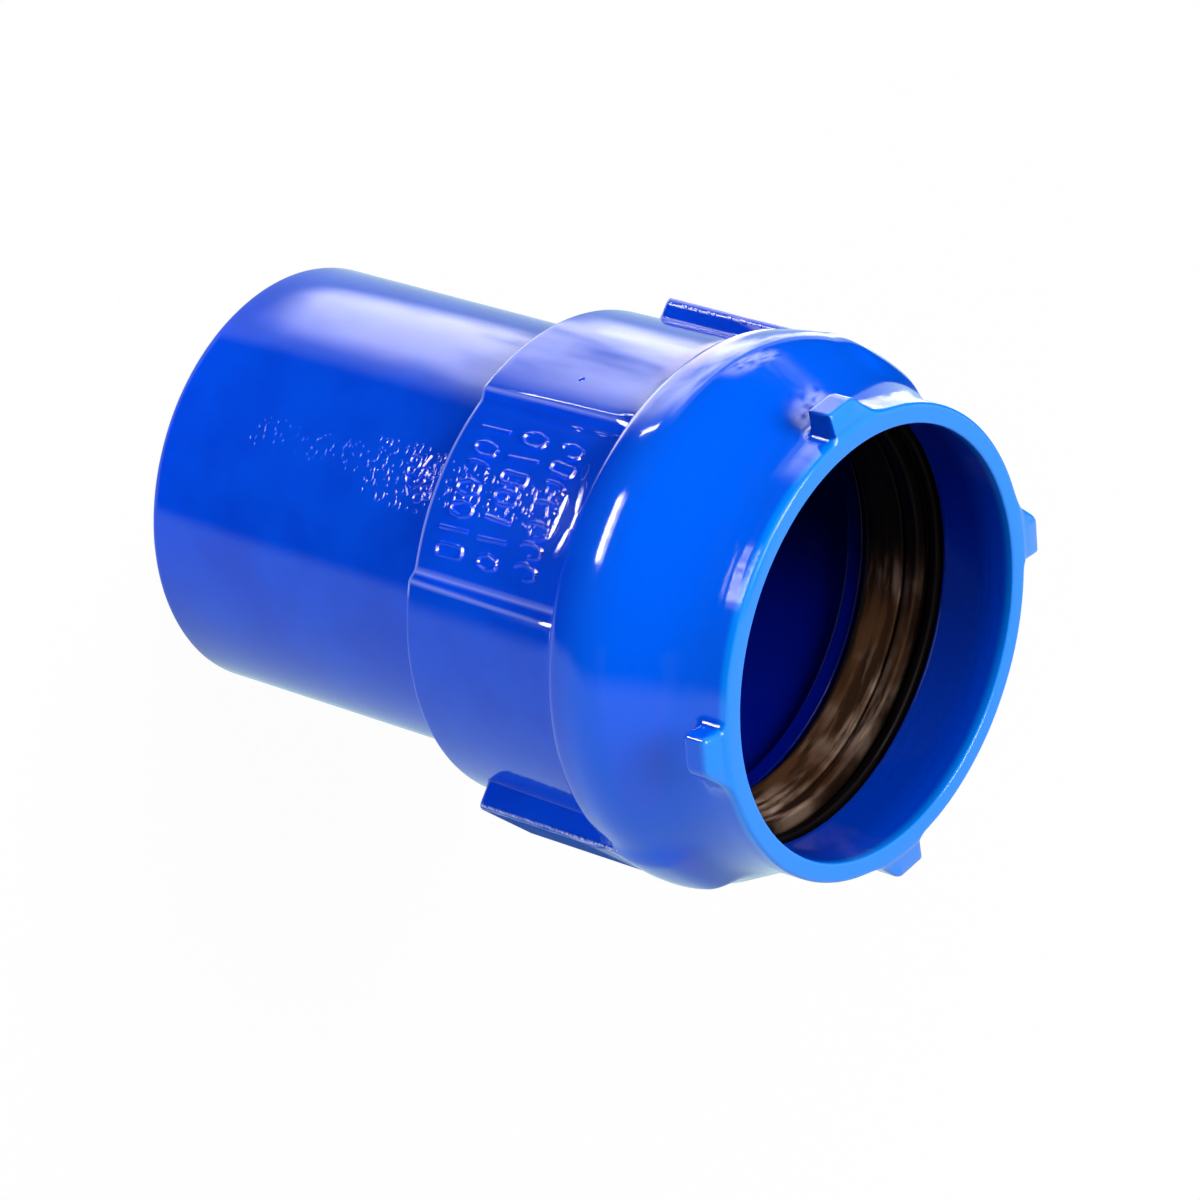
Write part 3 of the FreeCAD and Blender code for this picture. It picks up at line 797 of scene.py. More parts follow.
@dataclass(frozen=True)
class Section:
    """A closed turned section as points with the bend radius and side of each."""

    points: np.ndarray
    bend: np.ndarray
    outside: np.ndarray

    @staticmethod
    def through(corners: Sequence[Corner], step: float = 0.25, turn: float = math.radians(2)) -> Section:
        """Round every corner and lay points densely along the outline.

        Args:
            corners: the outline's corners in order.
            step: spacing of the dense points on straight runs.
            turn: turn between two points on a rounding, in radians.

        Returns:
            The dense section.
        """
        places = np.array([[corner.radius, corner.height] for corner in corners])
        arcs = []
        for index, corner in enumerate(corners):
            here = places[index]
            back = places[index - 1] - here
            ahead = places[(index + 1) % len(corners)] - here
            back = back / np.linalg.norm(back)
            ahead = ahead / np.linalg.norm(ahead)
            half = math.acos(float(np.clip(back @ ahead, -1, 1))) / 2
            middle = (back + ahead) / np.linalg.norm(back + ahead)
            centre = here + middle * corner.rounding / math.sin(half)
            start = here + back * corner.rounding / math.tan(half) - centre
            end = here + ahead * corner.rounding / math.tan(half) - centre
            first = math.atan2(start[1], start[0])
            sweep = (math.atan2(end[1], end[0]) - first + math.pi) % (2 * math.pi) - math.pi
            count = max(3, int(abs(sweep) / turn) + 1)
            angles = first + np.linspace(0, sweep, count)
            arcs.append(centre + corner.rounding * np.stack([np.cos(angles), np.sin(angles)], -1))
        points, bend, outside = [], [], []
        for index, corner in enumerate(corners):
            arc = arcs[index]
            following = corners[(index + 1) % len(corners)]
            target = arcs[(index + 1) % len(corners)][0]
            gap = np.linalg.norm(target - arc[-1])
            count = max(1, int(gap / step))
            line = arc[-1] + (target - arc[-1]) * np.linspace(0, 1, count + 1)[1:-1, None]
            points += [arc, line]
            bend += [np.full(len(arc), corner.rounding), np.full(len(line), np.inf)]
            between = corner.outside and following.outside
            outside += [np.full(len(arc), corner.outside), np.full(len(line), between)]
        return Section(np.concatenate(points), np.concatenate(bend), np.concatenate(outside))

    def thinned(self, spacing: np.ndarray, turn: float, finest: float = 0.1) -> Section:
        """Keep fewer points, spaced as wanted and close where the line bends.

        Args:
            spacing: the widest spacing wanted at each dense point.
            turn: the widest turn between two points on a bend, in radians.
            finest: the closest spacing on a bend.

        Returns:
            The thinned section.
        """
        wanted = np.minimum(spacing, np.maximum(self.bend * turn, finest))
        closed = np.vstack([self.points, self.points[:1]])
        lengths = np.linalg.norm(np.diff(closed, axis=0), axis=1)
        run = np.concatenate([[0], np.cumsum(lengths / wanted)])
        count = int(math.ceil(run[-1]))
        spots = np.linspace(0, run[-1], count, endpoint=False)
        radius = np.interp(spots, run, closed[:, 0])
        height = np.interp(spots, run, closed[:, 1])
        nearest = np.clip(np.searchsorted(run, spots), 0, len(self.bend) - 1)
        return Section(np.stack([radius, height], -1), self.bend[nearest], self.outside[nearest])


def smooth_union(first: np.ndarray, second: np.ndarray, width: float | np.ndarray) -> np.ndarray:
    """Join two distance fields with a soft inner corner.

    Args:
        first: distance to the one form.
        second: distance to the other form.
        width: about how wide the soft corner is.

    Returns:
        The distance to both together.
    """
    share = np.clip(0.5 + 0.5 * (second - first) / width, 0, 1)
    return second * (1 - share) + first * share - width * share * (1 - share)


def rounded_common(distances: Sequence[np.ndarray], rounding: float | np.ndarray) -> np.ndarray:
    """Measure the distance to the space behind several planes, with rounded outer corners.

    Args:
        distances: distance to each plane, negative behind it.
        rounding: radius of the corners.

    Returns:
        The distance, negative within that space.
    """
    inner = np.stack(np.broadcast_arrays(*distances)) + rounding
    outside = np.sqrt((np.maximum(inner, 0) ** 2).sum(0))
    return outside + np.minimum(inner.max(0), 0) - rounding


@dataclass(frozen=True)
class Zone:
    """Where the casting's grid is close: how far that reaches to each side, and the spacing there."""

    reach: float
    spacing: float


@dataclass
class CastBody:
    """The one-piece casting, with soft cast corners where its bars, lugs and panel meet it.

    Of the faces, rears, roundings and chamfers of the bars, the first is for the bar towards +X and
    the second for the bar towards -X. A blend goes from its first to its second width where the bar
    or the panel runs into the bulge.
    """

    name: str = "casting"
    spigot_radius: float = 60.95
    spigot_length: float = 103.0
    collar_radius: float = 69.5
    crease_radius: float = 70.4
    crease_height: float = 155.0
    bulge: tuple[Corner, ...] = (
        Corner(75.4, 158.6, 5.0, True),
        Corner(77.8, 173.0, 20.0, True),
        Corner(66.4, 196.4, 38.0, True),
    )
    lip_radius: float = 66.2
    mouth_height: float = 212.0
    mouth_radius: float = 60.6
    mouth_foot: float = 203.0
    groove_lip_radii: Range = (63.0, 65.0)
    groove_lip_height: float = 186.0
    groove_radius: float = 69.6
    groove_heights: Range = (161.6, 175.8)
    land_radius: float = 58.2
    land_foot: float = 156.5
    chamber_radius: float = 62.4
    chamber_heights: Range = (109.0, 154.3)
    stop_radius: float = 54.3
    waterway_radius: float = 54.5
    waterway_end: float = 101.0
    bar_faces: Range = (76.8, 74.9)
    bar_rears: Range = (115.4, 113.3)
    bar_front: float = 181.6
    bar_half_width: float = 13.8
    bar_roundings: Range = (1.4, 0.7)
    bar_chamfers: Range = (0.0, 1.5)
    chamfer_turn: float = math.radians(22)
    bar_end_rounding: float = 2.6
    bar_blend: Range = (0.35, 10.0)
    bar_dip: float = 3.0
    bar_dip_start: float = 3.0
    bar_dip_length: float = 10.0
    lug_radius: float = 74.3
    lug_angles: Range = (37.6, 46.1)
    lug_heights: Range = (203.0, 211.0)
    lug_rounding: float = 1.4
    lug_blend: float = 3.2
    panel_radius: float = 67.2
    panel_angles: Range = (21.7, 24.7)
    panel_rounding: float = 0.5
    panel_blend: Range = (0.6, 2.2)
    panel_rise_start: float = 3.5
    panel_rise_length: float = 3.0
    ray_reach: Range = (92.0, 58.0)
    ray_steps: int = 69
    ray_halvings: int = 14
    relief_start: float = 104.7
    widest_turn: float = math.radians(13)
    ring_spacing: Range = (2.8, 5.5)
    ring_growth: float = 0.6
    bar_end_zone: Zone = Zone(2.2, 0.4)
    lug_end_zones: tuple[Zone, Zone] = (Zone(2.0, 0.4), Zone(1.8, 0.22))
    line_spacing: float = 2.6
    line_growth: float = 0.7
    line_step: float = 0.05
    bar_side_turn: float = 10.8
    bar_side_zone: Zone = Zone(1.6, 0.2)
    panel_side_turn: float = 23.2
    panel_side_zone: Zone = Zone(1.2, 0.35)
    lug_side_zones: tuple[Zone, Zone] = (Zone(1.6, 0.28), Zone(4.0, 0.55))
    lug_draw_shift: float = 3.0
    least_normal: float = 1e-9
    least_span: float = 1e-6
    # Painted light: edge_slope and the share set the painted highlights on edges, hollow_slope the painted
    # shade in corners, and the panel's extent and foot angle where the highlights are full.
    edge_slope: Range = (1.6, 0.25)
    off_panel_highlight_share: float = 0.03
    hollow_slope: Range = (1.8, 0.15)
    panel_middle: float = 129.0
    panel_reach: tuple[float, float, float] = (27.0, 26.0, 60.0)
    panel_foot_angle: float = -74.0
    sharp_angle: float = math.radians(62)
    wave_height: float = 0.16
    wave_scale: float = 45.0
    grain_height: float = 0.035
    grain_scale: float = 260.0
    skin_seed: float = 11.0

    def corners(self) -> list[Corner]:
        """Lay out the turned section, up the outside and back down the inside.

        Returns:
            Its corners.
        """
        inner_lip, outer_lip = self.groove_lip_radii
        groove_rear, groove_front = self.groove_heights
        stop_height, chamber_end = self.chamber_heights
        return [
            Corner(self.spigot_radius, 0.0, 2.0, True),
            Corner(self.spigot_radius, self.spigot_length, 1.2, True),
            Corner(self.collar_radius, self.spigot_length, 1.6, True),
            Corner(self.crease_radius, self.crease_height, 1.6, True),
            *self.bulge,
            Corner(self.lip_radius, self.mouth_height, 1.2, True),
            Corner(self.mouth_radius, self.mouth_height, 0.8),
            Corner(self.mouth_radius, self.mouth_foot, 6.0),
            Corner(inner_lip, self.groove_lip_height, 0.8),
            Corner(outer_lip, self.groove_lip_height, 0.5),
            Corner(self.groove_radius, groove_front, 1.6),
            Corner(self.groove_radius, groove_rear, 1.6),
            Corner(self.land_radius, groove_rear, 0.8),
            Corner(self.land_radius, self.land_foot, 0.8),
            Corner(self.chamber_radius, chamber_end, 1.5),
            Corner(self.chamber_radius, stop_height, 3.0),
            Corner(self.stop_radius, stop_height, 0.8),
            Corner(self.waterway_radius, self.waterway_end, 2.0),
            Corner(self.waterway_radius, 0.0, 0.8),
        ]

    def height_spacing(self, section: Section) -> np.ndarray:
        """Space the grid's rings, close where bars, lugs and the panel end.

        Args:
            section: the dense section.

        Returns:
            The widest spacing at each of its points.
        """
        height = section.points[:, 1]
        spacing = np.where(section.outside, *self.ring_spacing)
        close = [(end, self.bar_end_zone) for end in (*self.bar_rears, self.bar_front)]
        close += zip(self.lug_heights, self.lug_end_zones)
        for middle, zone in close:
            away = np.maximum(np.abs(height - middle) - zone.reach, 0)
            finer = np.minimum(spacing, zone.spacing + away * self.ring_growth)
            spacing = np.where(section.outside, finer, spacing)
        return spacing

    def angles(self) -> np.ndarray:
        """Space the grid's lines, close along the sides of bars, lugs and the panel.

        Returns:
            Their angles, in radians.
        """
        dense = np.arange(0, 360, self.line_step)
        spacing = np.full(len(dense), self.line_spacing)
        near, far = self.lug_angles
        both = (-1, 1)
        close = [(bar + side * self.bar_side_turn, self.bar_side_zone) for bar in (0, 180) for side in both]
        close += [(270 + side * self.panel_side_turn, self.panel_side_zone) for side in both]
        for turn, zone in zip((near, far + self.lug_draw_shift), self.lug_side_zones):
            close += [(draw + side * turn, zone) for draw in (90, 270) for side in both]
        for middle, zone in close:
            away = np.maximum(np.abs((dense - middle + 180) % 360 - 180) - zone.reach, 0)
            spacing = np.minimum(spacing, zone.spacing + away * self.line_growth)
        run = np.concatenate([[0], np.cumsum(self.line_step / spacing)])
        spots = np.linspace(0, run[-1], int(math.ceil(run[-1])), endpoint=False)
        return np.radians(np.interp(spots, run, np.append(dense, 360.0)))

    def distance(self, angle: np.ndarray, radius: np.ndarray, height: np.ndarray,
                 turned: np.ndarray) -> np.ndarray:
        """Measure the distance to the casting's outside.

        Args:
            angle: angle about the axis.
            radius: distance from the axis.
            height: height along the axis.
            turned: radius of the plain turned form at that height.

        Returns:
            The distance, negative within the casting.
        """
        x = radius * np.cos(angle)
        y = radius * np.sin(angle)
        result = radius - turned
        into = np.clip((height - self.crease_height - self.bar_dip_start) / self.bar_dip_length, 0, 1)
        blend = self.bar_blend[0] + (self.bar_blend[1] - self.bar_blend[0]) * into
        for index, sign in enumerate((1, -1)):
            bar = self.bar_distance(index, sign * x, y, height, into)
            result = smooth_union(result, bar, blend)
        result = smooth_union(result, self.lug_distance(x, y, height), self.lug_blend)
        return self.without_panel(result, x, y, radius, height)

    def bar_distance(self, index: int, x: np.ndarray, y: np.ndarray, height: np.ndarray,
                     into: np.ndarray) -> np.ndarray:
        """Measure the distance to one side bar.

        Args:
            index: which bar it is.
            x: place across the axis, towards that bar.
            y: place along the parting plane's normal.
            height: height along the axis.
            into: how far the bar has run into the bulge there, from 0 to 1.

        Returns:
            The distance, negative within the bar.
        """
        out = x - self.bar_faces[index] + self.bar_dip * into
        across = np.abs(y) - self.bar_half_width
        chamfer = across * math.cos(self.chamfer_turn) + out * math.sin(self.chamfer_turn)
        chamfer = chamfer + self.bar_chamfers[index] * math.sin(self.chamfer_turn)
        sides = [out, across, chamfer, self.bar_rears[index] - height, height - self.bar_front]
        rounding = self.bar_roundings[index] + (self.bar_end_rounding - self.bar_roundings[index]) * into
        return np.maximum(rounded_common(sides, rounding), -x)

    def lug_distance(self, x: np.ndarray, y: np.ndarray, height: np.ndarray) -> np.ndarray:
        """Measure the distance to the four lugs, each with a radial side and one that draws along Y.

        Args:
            x: place across the axis.
            y: place along the parting plane's normal.
            height: height along the axis.

        Returns:
            The distance, negative within a lug.
        """
        near, far = (math.radians(angle) for angle in self.lug_angles)
        middle = (near + far) / 2
        across, along = np.abs(x), np.abs(y)
        top = across * math.sin(middle) + along * math.cos(middle)
        sides = [
            along * math.sin(near) - across * math.cos(near),
            across - self.lug_radius * math.sin(far),
            top - self.lug_radius * math.cos((far - near) / 2),
            self.lug_heights[0] - height,
            height - self.lug_heights[1],
        ]
        return rounded_common(sides, self.lug_rounding)

    def without_panel(self, result: np.ndarray, x: np.ndarray, y: np.ndarray, radius: np.ndarray,
                      height: np.ndarray) -> np.ndarray:
        """Cut the marking panel, with sloped sides and a soft rise into the bulge.

        Args:
            result: distance to the casting so far.
            x: place across the axis.
            y: place along the parting plane's normal.
            radius: distance from the axis.
            height: height along the axis.

        Returns:
            The distance to the casting with its panel.
        """
        low, high = (math.radians(angle) for angle in self.panel_angles)
        foot = (self.panel_radius * math.sin(low), self.panel_radius * math.cos(low))
        rim = (self.crease_radius * math.sin(high), self.crease_radius * math.cos(high))
        slope = math.hypot(rim[0] - foot[0], rim[1] - foot[1])
        side = (np.abs(x) - foot[0]) * (rim[1] - foot[1]) + (y + foot[1]) * (rim[0] - foot[0])
        walls = [self.panel_radius - radius, side / slope, y, height - self.crease_height]
        cut = rounded_common(walls, self.panel_rounding)
        rise = np.clip((height - self.crease_height + self.panel_rise_start) / self.panel_rise_length, 0, 1)
        width = self.panel_blend[0] + (self.panel_blend[1] - self.panel_blend[0]) * rise
        return -smooth_union(-result, cut, width)

    def outside_radius(self, angle: np.ndarray, height: np.ndarray, turned: np.ndarray) -> np.ndarray:
        """Follow rays in from outside to the casting's face.

        Args:
            angle: angles of the grid's lines.
            height: heights of the grid's rings.
            turned: radius of the plain turned form at those heights.

        Returns:
            The radius of the face, one row a ring.
        """
        grid = (angle[None, :], height[:, None], turned[:, None])
        shape = (len(height), len(angle))
        outer = np.full(shape, self.ray_reach[0])
        inner = np.full(shape, self.ray_reach[1])
        found = np.zeros(shape, bool)
        for radius in np.linspace(*self.ray_reach, self.ray_steps):
            within = self.distance(grid[0], np.full(shape, radius), grid[1], grid[2]) < 0
            first = within & ~found
            inner[first] = radius
            outer[~found & ~within] = radius
            found |= within
        for _ in range(self.ray_halvings):
            middle = (outer + inner) / 2
            within = self.distance(grid[0], middle, grid[1], grid[2]) < 0
            inner = np.where(within, middle, inner)
            outer = np.where(within, outer, middle)
        return (outer + inner) / 2

    def grid(self) -> np.ndarray:
        """Lay the whole skin as rings of points.

        Returns:
            The points, one row a ring of the section and one column a line round the axis.
        """
        dense = Section.through(self.corners())
        section = dense.thinned(self.height_spacing(dense), self.widest_turn)
        angle = self.angles()
        flat, height = section.points.T
        radius = np.repeat(flat[:, None], len(angle), axis=1)
        relief = section.outside & (height > self.relief_start)
        radius[relief] = self.outside_radius(angle, height[relief], flat[relief])
        collar = section.outside & (height >= self.spigot_length) & ~relief & (flat > self.spigot_radius)
        start = np.array([self.relief_start])
        heights = [self.spigot_length, self.crease_height]
        turned = np.interp(start, heights, [self.collar_radius, self.crease_radius])
        rim = self.outside_radius(angle, start, turned)[0]
        share = (flat[collar, None] - self.spigot_radius) / (turned[0] - self.spigot_radius)
        radius[collar] = self.spigot_radius + share * (rim[None, :] - self.spigot_radius)
        heights = np.repeat(height[:, None], len(angle), axis=1)
        return np.stack([radius * np.cos(angle), radius * np.sin(angle), heights], -1)

    def bends(self, grid: np.ndarray) -> tuple[np.ndarray, np.ndarray]:
        """Find how sharply the skin bends.

        Args:
            grid: the rings of points.

        Returns:
            A mask for painted highlights on outer edges, full on the panel's rims and along its lower foot,
            and a mask for painted shade in the other inner corners.
        """
        across = np.roll(grid, -1, 1) - np.roll(grid, 1, 1)
        along = np.roll(grid, -1, 0) - np.roll(grid, 1, 0)
        normal = np.cross(across, along)
        normal /= np.maximum(np.linalg.norm(normal, axis=-1, keepdims=True), self.least_normal)
        curves = []
        for axis, span in ((0, along), (1, across)):
            change = np.roll(normal, -1, axis) - np.roll(normal, 1, axis)
            curves.append((change * span).sum(-1) / np.maximum((span ** 2).sum(-1), self.least_span))
        most = np.maximum(*curves)
        least = np.minimum(*curves)
        angle = np.degrees(np.arctan2(grid[..., 1], grid[..., 0]))
        turn, half, front = self.panel_reach
        panel = (np.abs(angle + 90) < turn) & (np.abs(grid[..., 2] - self.panel_middle) < half)
        panel &= grid[..., 1] < -front
        # painted highlights are full on the panel's rims and weak elsewhere
        rims = np.where(panel, 1.0, self.off_panel_highlight_share)
        hollow = np.clip(-least * self.hollow_slope[0] - self.hollow_slope[1], 0, 1)
        # the panel's lower foot gets a painted highlight line in place of shade
        foot = np.where(panel & (angle > self.panel_foot_angle), hollow, 0.0)
        edge = np.clip(most * self.edge_slope[0] - self.edge_slope[1], 0, 1) * rims
        return np.maximum(edge, foot), hollow - foot

    def build(self, coating: bpy.types.Material) -> bpy.types.Object:
        """Make the casting's mesh.

        Args:
            coating: the finish it gets.

        Returns:
            The finished piece.
        """
        grid = self.grid()
        rings, lines = grid.shape[:2]
        index = np.arange(rings * lines).reshape(rings, lines)
        piece = mesh_object(self.name, grid.reshape(-1, 3), grid_faces(index, ring=True))
        edge, hollow = self.bends(grid)
        for label, values in (("edge", edge), ("hollow", hollow)):
            layer = piece.data.attributes.new(label, "FLOAT", "POINT")
            layer.data.foreach_set("value", values.reshape(-1).astype(np.float32))
        grow(piece, GeometryTrees.skin(), {
            "Wave Height": self.wave_height * MM,
            "Wave Scale": self.wave_scale,
            "Grain Height": self.grain_height * MM,
            "Grain Scale": self.grain_scale,
            "Seed": self.skin_seed,
            "Material": coating,
        })
        piece.data.set_sharp_from_angle(angle=self.sharp_angle)
        finish_piece(piece, ["cast_body"])
        return piece


class GeometryTrees:
    """The Geometry Nodes trees of this object."""

    merge_distance: float = 1e-6
    last_shape: int = 7
    ring_points: int = 28
    gon_points: int = 6
    box_shape: Range = (1.5, 2.1)
    stroke_half: float = 1.15
    hook_points: int = 22
    hook_sweep: float = 4.4
    bow_points: int = 16
    bow_start: float = 1.3
    bow_sweep: float = 2.7
    fillet_share: float = 0.3
    fillet_points: int = 3
    bead_points: int = 18
    bead_swell: Range = (0.5, 0.46)
    bead_foot: float = 0.25
    bead_parting: float = 0.01
    lump_stretch: Range = (0.7, 1.9)

    @staticmethod
    def start(name: str, sizes: Sequence[tuple]) -> tuple:
        """Begin a tree that takes geometry, its sizes and a material.

        Args:
            name: the tree's name.
            sizes: name and start value of each size.

        Returns:
            The tree, its input node and its output node.
        """
        inputs = [("Geometry", "NodeSocketGeometry", None)]
        inputs += [(label, FLOAT, value) for label, value in sizes]
        inputs.append(("Material", "NodeSocketMaterial", None))
        return new_group(name, GroupKind.SHAPE, inputs, [("Geometry", "NodeSocketGeometry")])

    @staticmethod
    def skin() -> bpy.types.NodeTree:
        """Move every point a little along its normal, as a sand-cast and coated skin lies.

        Returns:
            The tree.
        """
        sizes = [("Wave Height", 0.0002), ("Wave Scale", 45.0), ("Grain Height", 0.00005),
                 ("Grain Scale", 260.0), ("Seed", 1.0)]
        tree, given, out = GeometryTrees.start("cast_skin", sizes)
        get = given.outputs
        place = tree.position()
        slow = tree.centred(tree.noise(place, get["Wave Scale"], 1.0, get["Seed"]), get["Wave Height"])
        fine = tree.centred(tree.noise(place, get["Grain Scale"], 1.0, get["Seed"]), get["Grain Height"])
        offset = tree.vector("SCALE", tree.normal(), scale=tree.math("ADD", slow, fine))
        tree.close(tree.moved(get["Geometry"], offset), given, out)
        return tree.tree

    @staticmethod
    def lathe() -> bpy.types.NodeTree:
        """Turn a section, given as points, all the way round Z, and let its skin sway a little.

        Returns:
            The tree.
        """
        sizes = [("Turns", 360.0), ("Section Points", 10.0), ("Sway Height", 0.0001), ("Sway Scale", 20.0)]
        tree, given, out = GeometryTrees.start("lathe", sizes)
        get = given.outputs
        turns, count = get["Turns"], get["Section Points"]
        rows = tree.math("ADD", count, 1.0)
        columns = tree.math("ADD", turns, 1.0)
        grid = tree.add("GeometryNodeMeshGrid", {"Vertices X": columns, "Vertices Y": rows})
        index = tree.add("GeometryNodeInputIndex").outputs[0]
        turn = tree.math("FLOOR", tree.math("DIVIDE", tree.math("ADD", index, 0.5), rows))
        step = tree.math("ROUND", tree.math("SUBTRACT", index, tree.times(turn, rows)))
        step = tree.math("ROUND", tree.math("MODULO", step, count))
        inputs = {0: get["Geometry"], "Value": tree.position(), "Index": step}
        sample = tree.add("GeometryNodeSampleIndex", inputs, data_type="FLOAT_VECTOR")
        radius, _, height = tree.parts(sample.outputs[0])
        angle = tree.times(tree.math("DIVIDE", turn, turns), 2 * math.pi)
        across = tree.times(radius, tree.math("COSINE", angle))
        along = tree.times(radius, tree.math("SINE", angle))
        laid = tree.laid(grid.outputs[0], tree.joined(across, along, height))
        inputs = {0: laid, "Distance": GeometryTrees.merge_distance}
        closed = tree.add("GeometryNodeMergeByDistance", inputs).outputs[0]
        sway = tree.centred(tree.noise(tree.position(), get["Sway Scale"], 1.0), get["Sway Height"])
        tree.close(tree.moved(closed, tree.vector("SCALE", tree.normal(), scale=sway)), given, out)
        return tree.tree

    @staticmethod
    def marks() -> bpy.types.NodeTree:
        """Raise rows of plain shapes, each a rounded bead, and bend them round the panel's floor.

        Returns:
            The tree.
        """
        sizes = [("Columns", 6.0), ("Rows", 3.0), ("Column Step", 0.0082), ("Row Step", 0.0142),
                 ("Shape Size", 0.0036), ("Slenderness", 0.5), ("Bead Width", 0.0024),
                 ("Bead Height", 0.0009), ("Floor Radius", 0.0672), ("Middle Height", 0.127),
                 ("Middle Angle", -math.pi / 2), ("Jitter", 0.0), ("Turn", 0.1), ("Least Scale", 0.8),
                 ("Seed", 4.0)]
        tree, given, out = GeometryTrees.start("raised_marks", sizes)
        get = given.outputs
        seed = get["Seed"]
        grid = tree.add("GeometryNodeMeshGrid", {
            0: tree.times(get["Column Step"], tree.math("SUBTRACT", get["Columns"], 1.0)),
            1: tree.times(get["Row Step"], tree.math("SUBTRACT", get["Rows"], 1.0)),
            "Vertices X": get["Columns"],
            "Vertices Y": get["Rows"],
        })
        shake = tree.random("FLOAT_VECTOR", (-1.0, -1.0, 0.0), (1.0, 1.0, 0.0), seed)
        shaken = tree.moved(grid.outputs[0], tree.vector("SCALE", shake, scale=get["Jitter"]))
        shapes = GeometryTrees.mark_shapes(tree, get["Shape Size"])
        scale = tree.random("FLOAT", get["Least Scale"], 1.0, seed)
        turn = tree.random("FLOAT", tree.times(get["Turn"], -1.0), get["Turn"], seed)
        placed = tree.add("GeometryNodeInstanceOnPoints", {
            0: shaken,
            "Instance": shapes.outputs[0],
            "Pick Instance": True,
            "Instance Index": tree.random("INT", 0, GeometryTrees.last_shape, seed),
            "Rotation": tree.joined(z=turn),
            "Scale": tree.joined(tree.times(scale, get["Slenderness"]), scale, 1.0),
        })
        real = tree.add("GeometryNodeRealizeInstances", {0: placed.outputs[0]})
        soft = tree.add("GeometryNodeFilletCurve", {0: real.outputs[0]}, mode="POLY")
        tree.put(soft.inputs["Count"], GeometryTrees.fillet_points)
        tree.put(soft.inputs["Radius"], tree.times(get["Shape Size"], GeometryTrees.fillet_share))
        upright = tree.add("GeometryNodeSetCurveNormal", {0: soft.outputs[0]}, mode="Z_UP")
        swept = tree.add("GeometryNodeCurveToMesh", {
            0: upright.outputs[0],
            "Profile Curve": GeometryTrees.bead(tree, get["Bead Width"], get["Bead Height"]),
            "Fill Caps": True,
        })
        tree.close(GeometryTrees.bent(tree, swept.outputs[0], get), given, out)
        return tree.tree

    @staticmethod
    def mark_shapes(tree: ShapeTree, size: object) -> bpy.types.Node:
        """Draw the flat shapes that the marks are picked from.

        Args:
            tree: the marks' tree.
            size: half a shape's height, about.

        Returns:
            The node that gathers them as instances.
        """
        own = GeometryTrees
        wide, high = own.box_shape
        half = tree.times(size, own.stroke_half)
        ring = tree.add("GeometryNodeCurvePrimitiveCircle", {"Resolution": own.ring_points, "Radius": size})
        gon = tree.add("GeometryNodeCurvePrimitiveCircle", {"Resolution": own.gon_points, "Radius": size})
        box = tree.add("GeometryNodeCurvePrimitiveQuadrilateral", {
            "Width": tree.times(size, wide), "Height": tree.times(size, high)})
        stroke = tree.add("GeometryNodeCurvePrimitiveLine", {
            "Start": tree.joined(y=tree.times(half, -1.0)), "End": tree.joined(y=half)})
        hook = tree.add("GeometryNodeCurveArc", {
            "Resolution": own.hook_points, "Radius": size, "Sweep Angle": own.hook_sweep})
        bow = tree.add("GeometryNodeCurveArc", {
            "Resolution": own.bow_points, "Radius": size, "Start Angle": own.bow_start,
            "Sweep Angle": own.bow_sweep})
        shapes = tree.add("GeometryNodeJoinGeometry")
        for shape in (ring, gon, box, stroke, hook, box, bow, stroke):
            held = tree.add("GeometryNodeGeometryToInstance", {0: shape.outputs[0]})
            tree.put(shapes.inputs[0], held.outputs[0])
        return shapes

    @staticmethod
    def bead(tree: ShapeTree, width: object, height: object) -> bpy.types.NodeSocket:
        """Draw the closed section of a cast bead: a soft hump that runs out flat, and a sunk foot.

        Args:
            tree: the marks' tree.
            width: the bead's width.
            height: its height.

        Returns:
            The section as a curve.
        """
        own = GeometryTrees
        swing, middle = own.bead_swell
        loop = tree.add("GeometryNodeCurvePrimitiveCircle", {"Resolution": own.bead_points, "Radius": 1.0})
        across, side, _ = tree.parts(tree.position())
        wave = tree.math("COSINE", tree.times(across, math.pi))
        hump = tree.math("MULTIPLY_ADD", wave, swing, middle)
        upper = tree.math("GREATER_THAN", side, own.bead_parting)
        rise = tree.math("ADD", tree.times(tree.math("ADD", hump, own.bead_foot), upper), -own.bead_foot)
        place = tree.joined(tree.times(width, -0.5, across), tree.times(rise, height, -1.0))
        return tree.laid(loop.outputs[0], place)

    @staticmethod
    def bent(tree: ShapeTree, flat: object, get: object) -> bpy.types.NodeSocket:
        """Wrap flat geometry round the panel's floor: X goes round, Y up the axis and Z outwards.

        Args:
            tree: the marks' tree.
            flat: the flat geometry.
            get: the tree's inputs.

        Returns:
            The wrapped geometry.
        """
        around, up, out = tree.parts(tree.position())
        angle = tree.math("ADD", tree.math("DIVIDE", around, get["Floor Radius"]), get["Middle Angle"])
        radius = tree.math("ADD", out, get["Floor Radius"])
        place = tree.joined(
            tree.times(radius, tree.math("COSINE", angle)),
            tree.times(radius, tree.math("SINE", angle)),
            tree.math("ADD", up, get["Middle Height"]),
        )
        return tree.laid(flat, place)

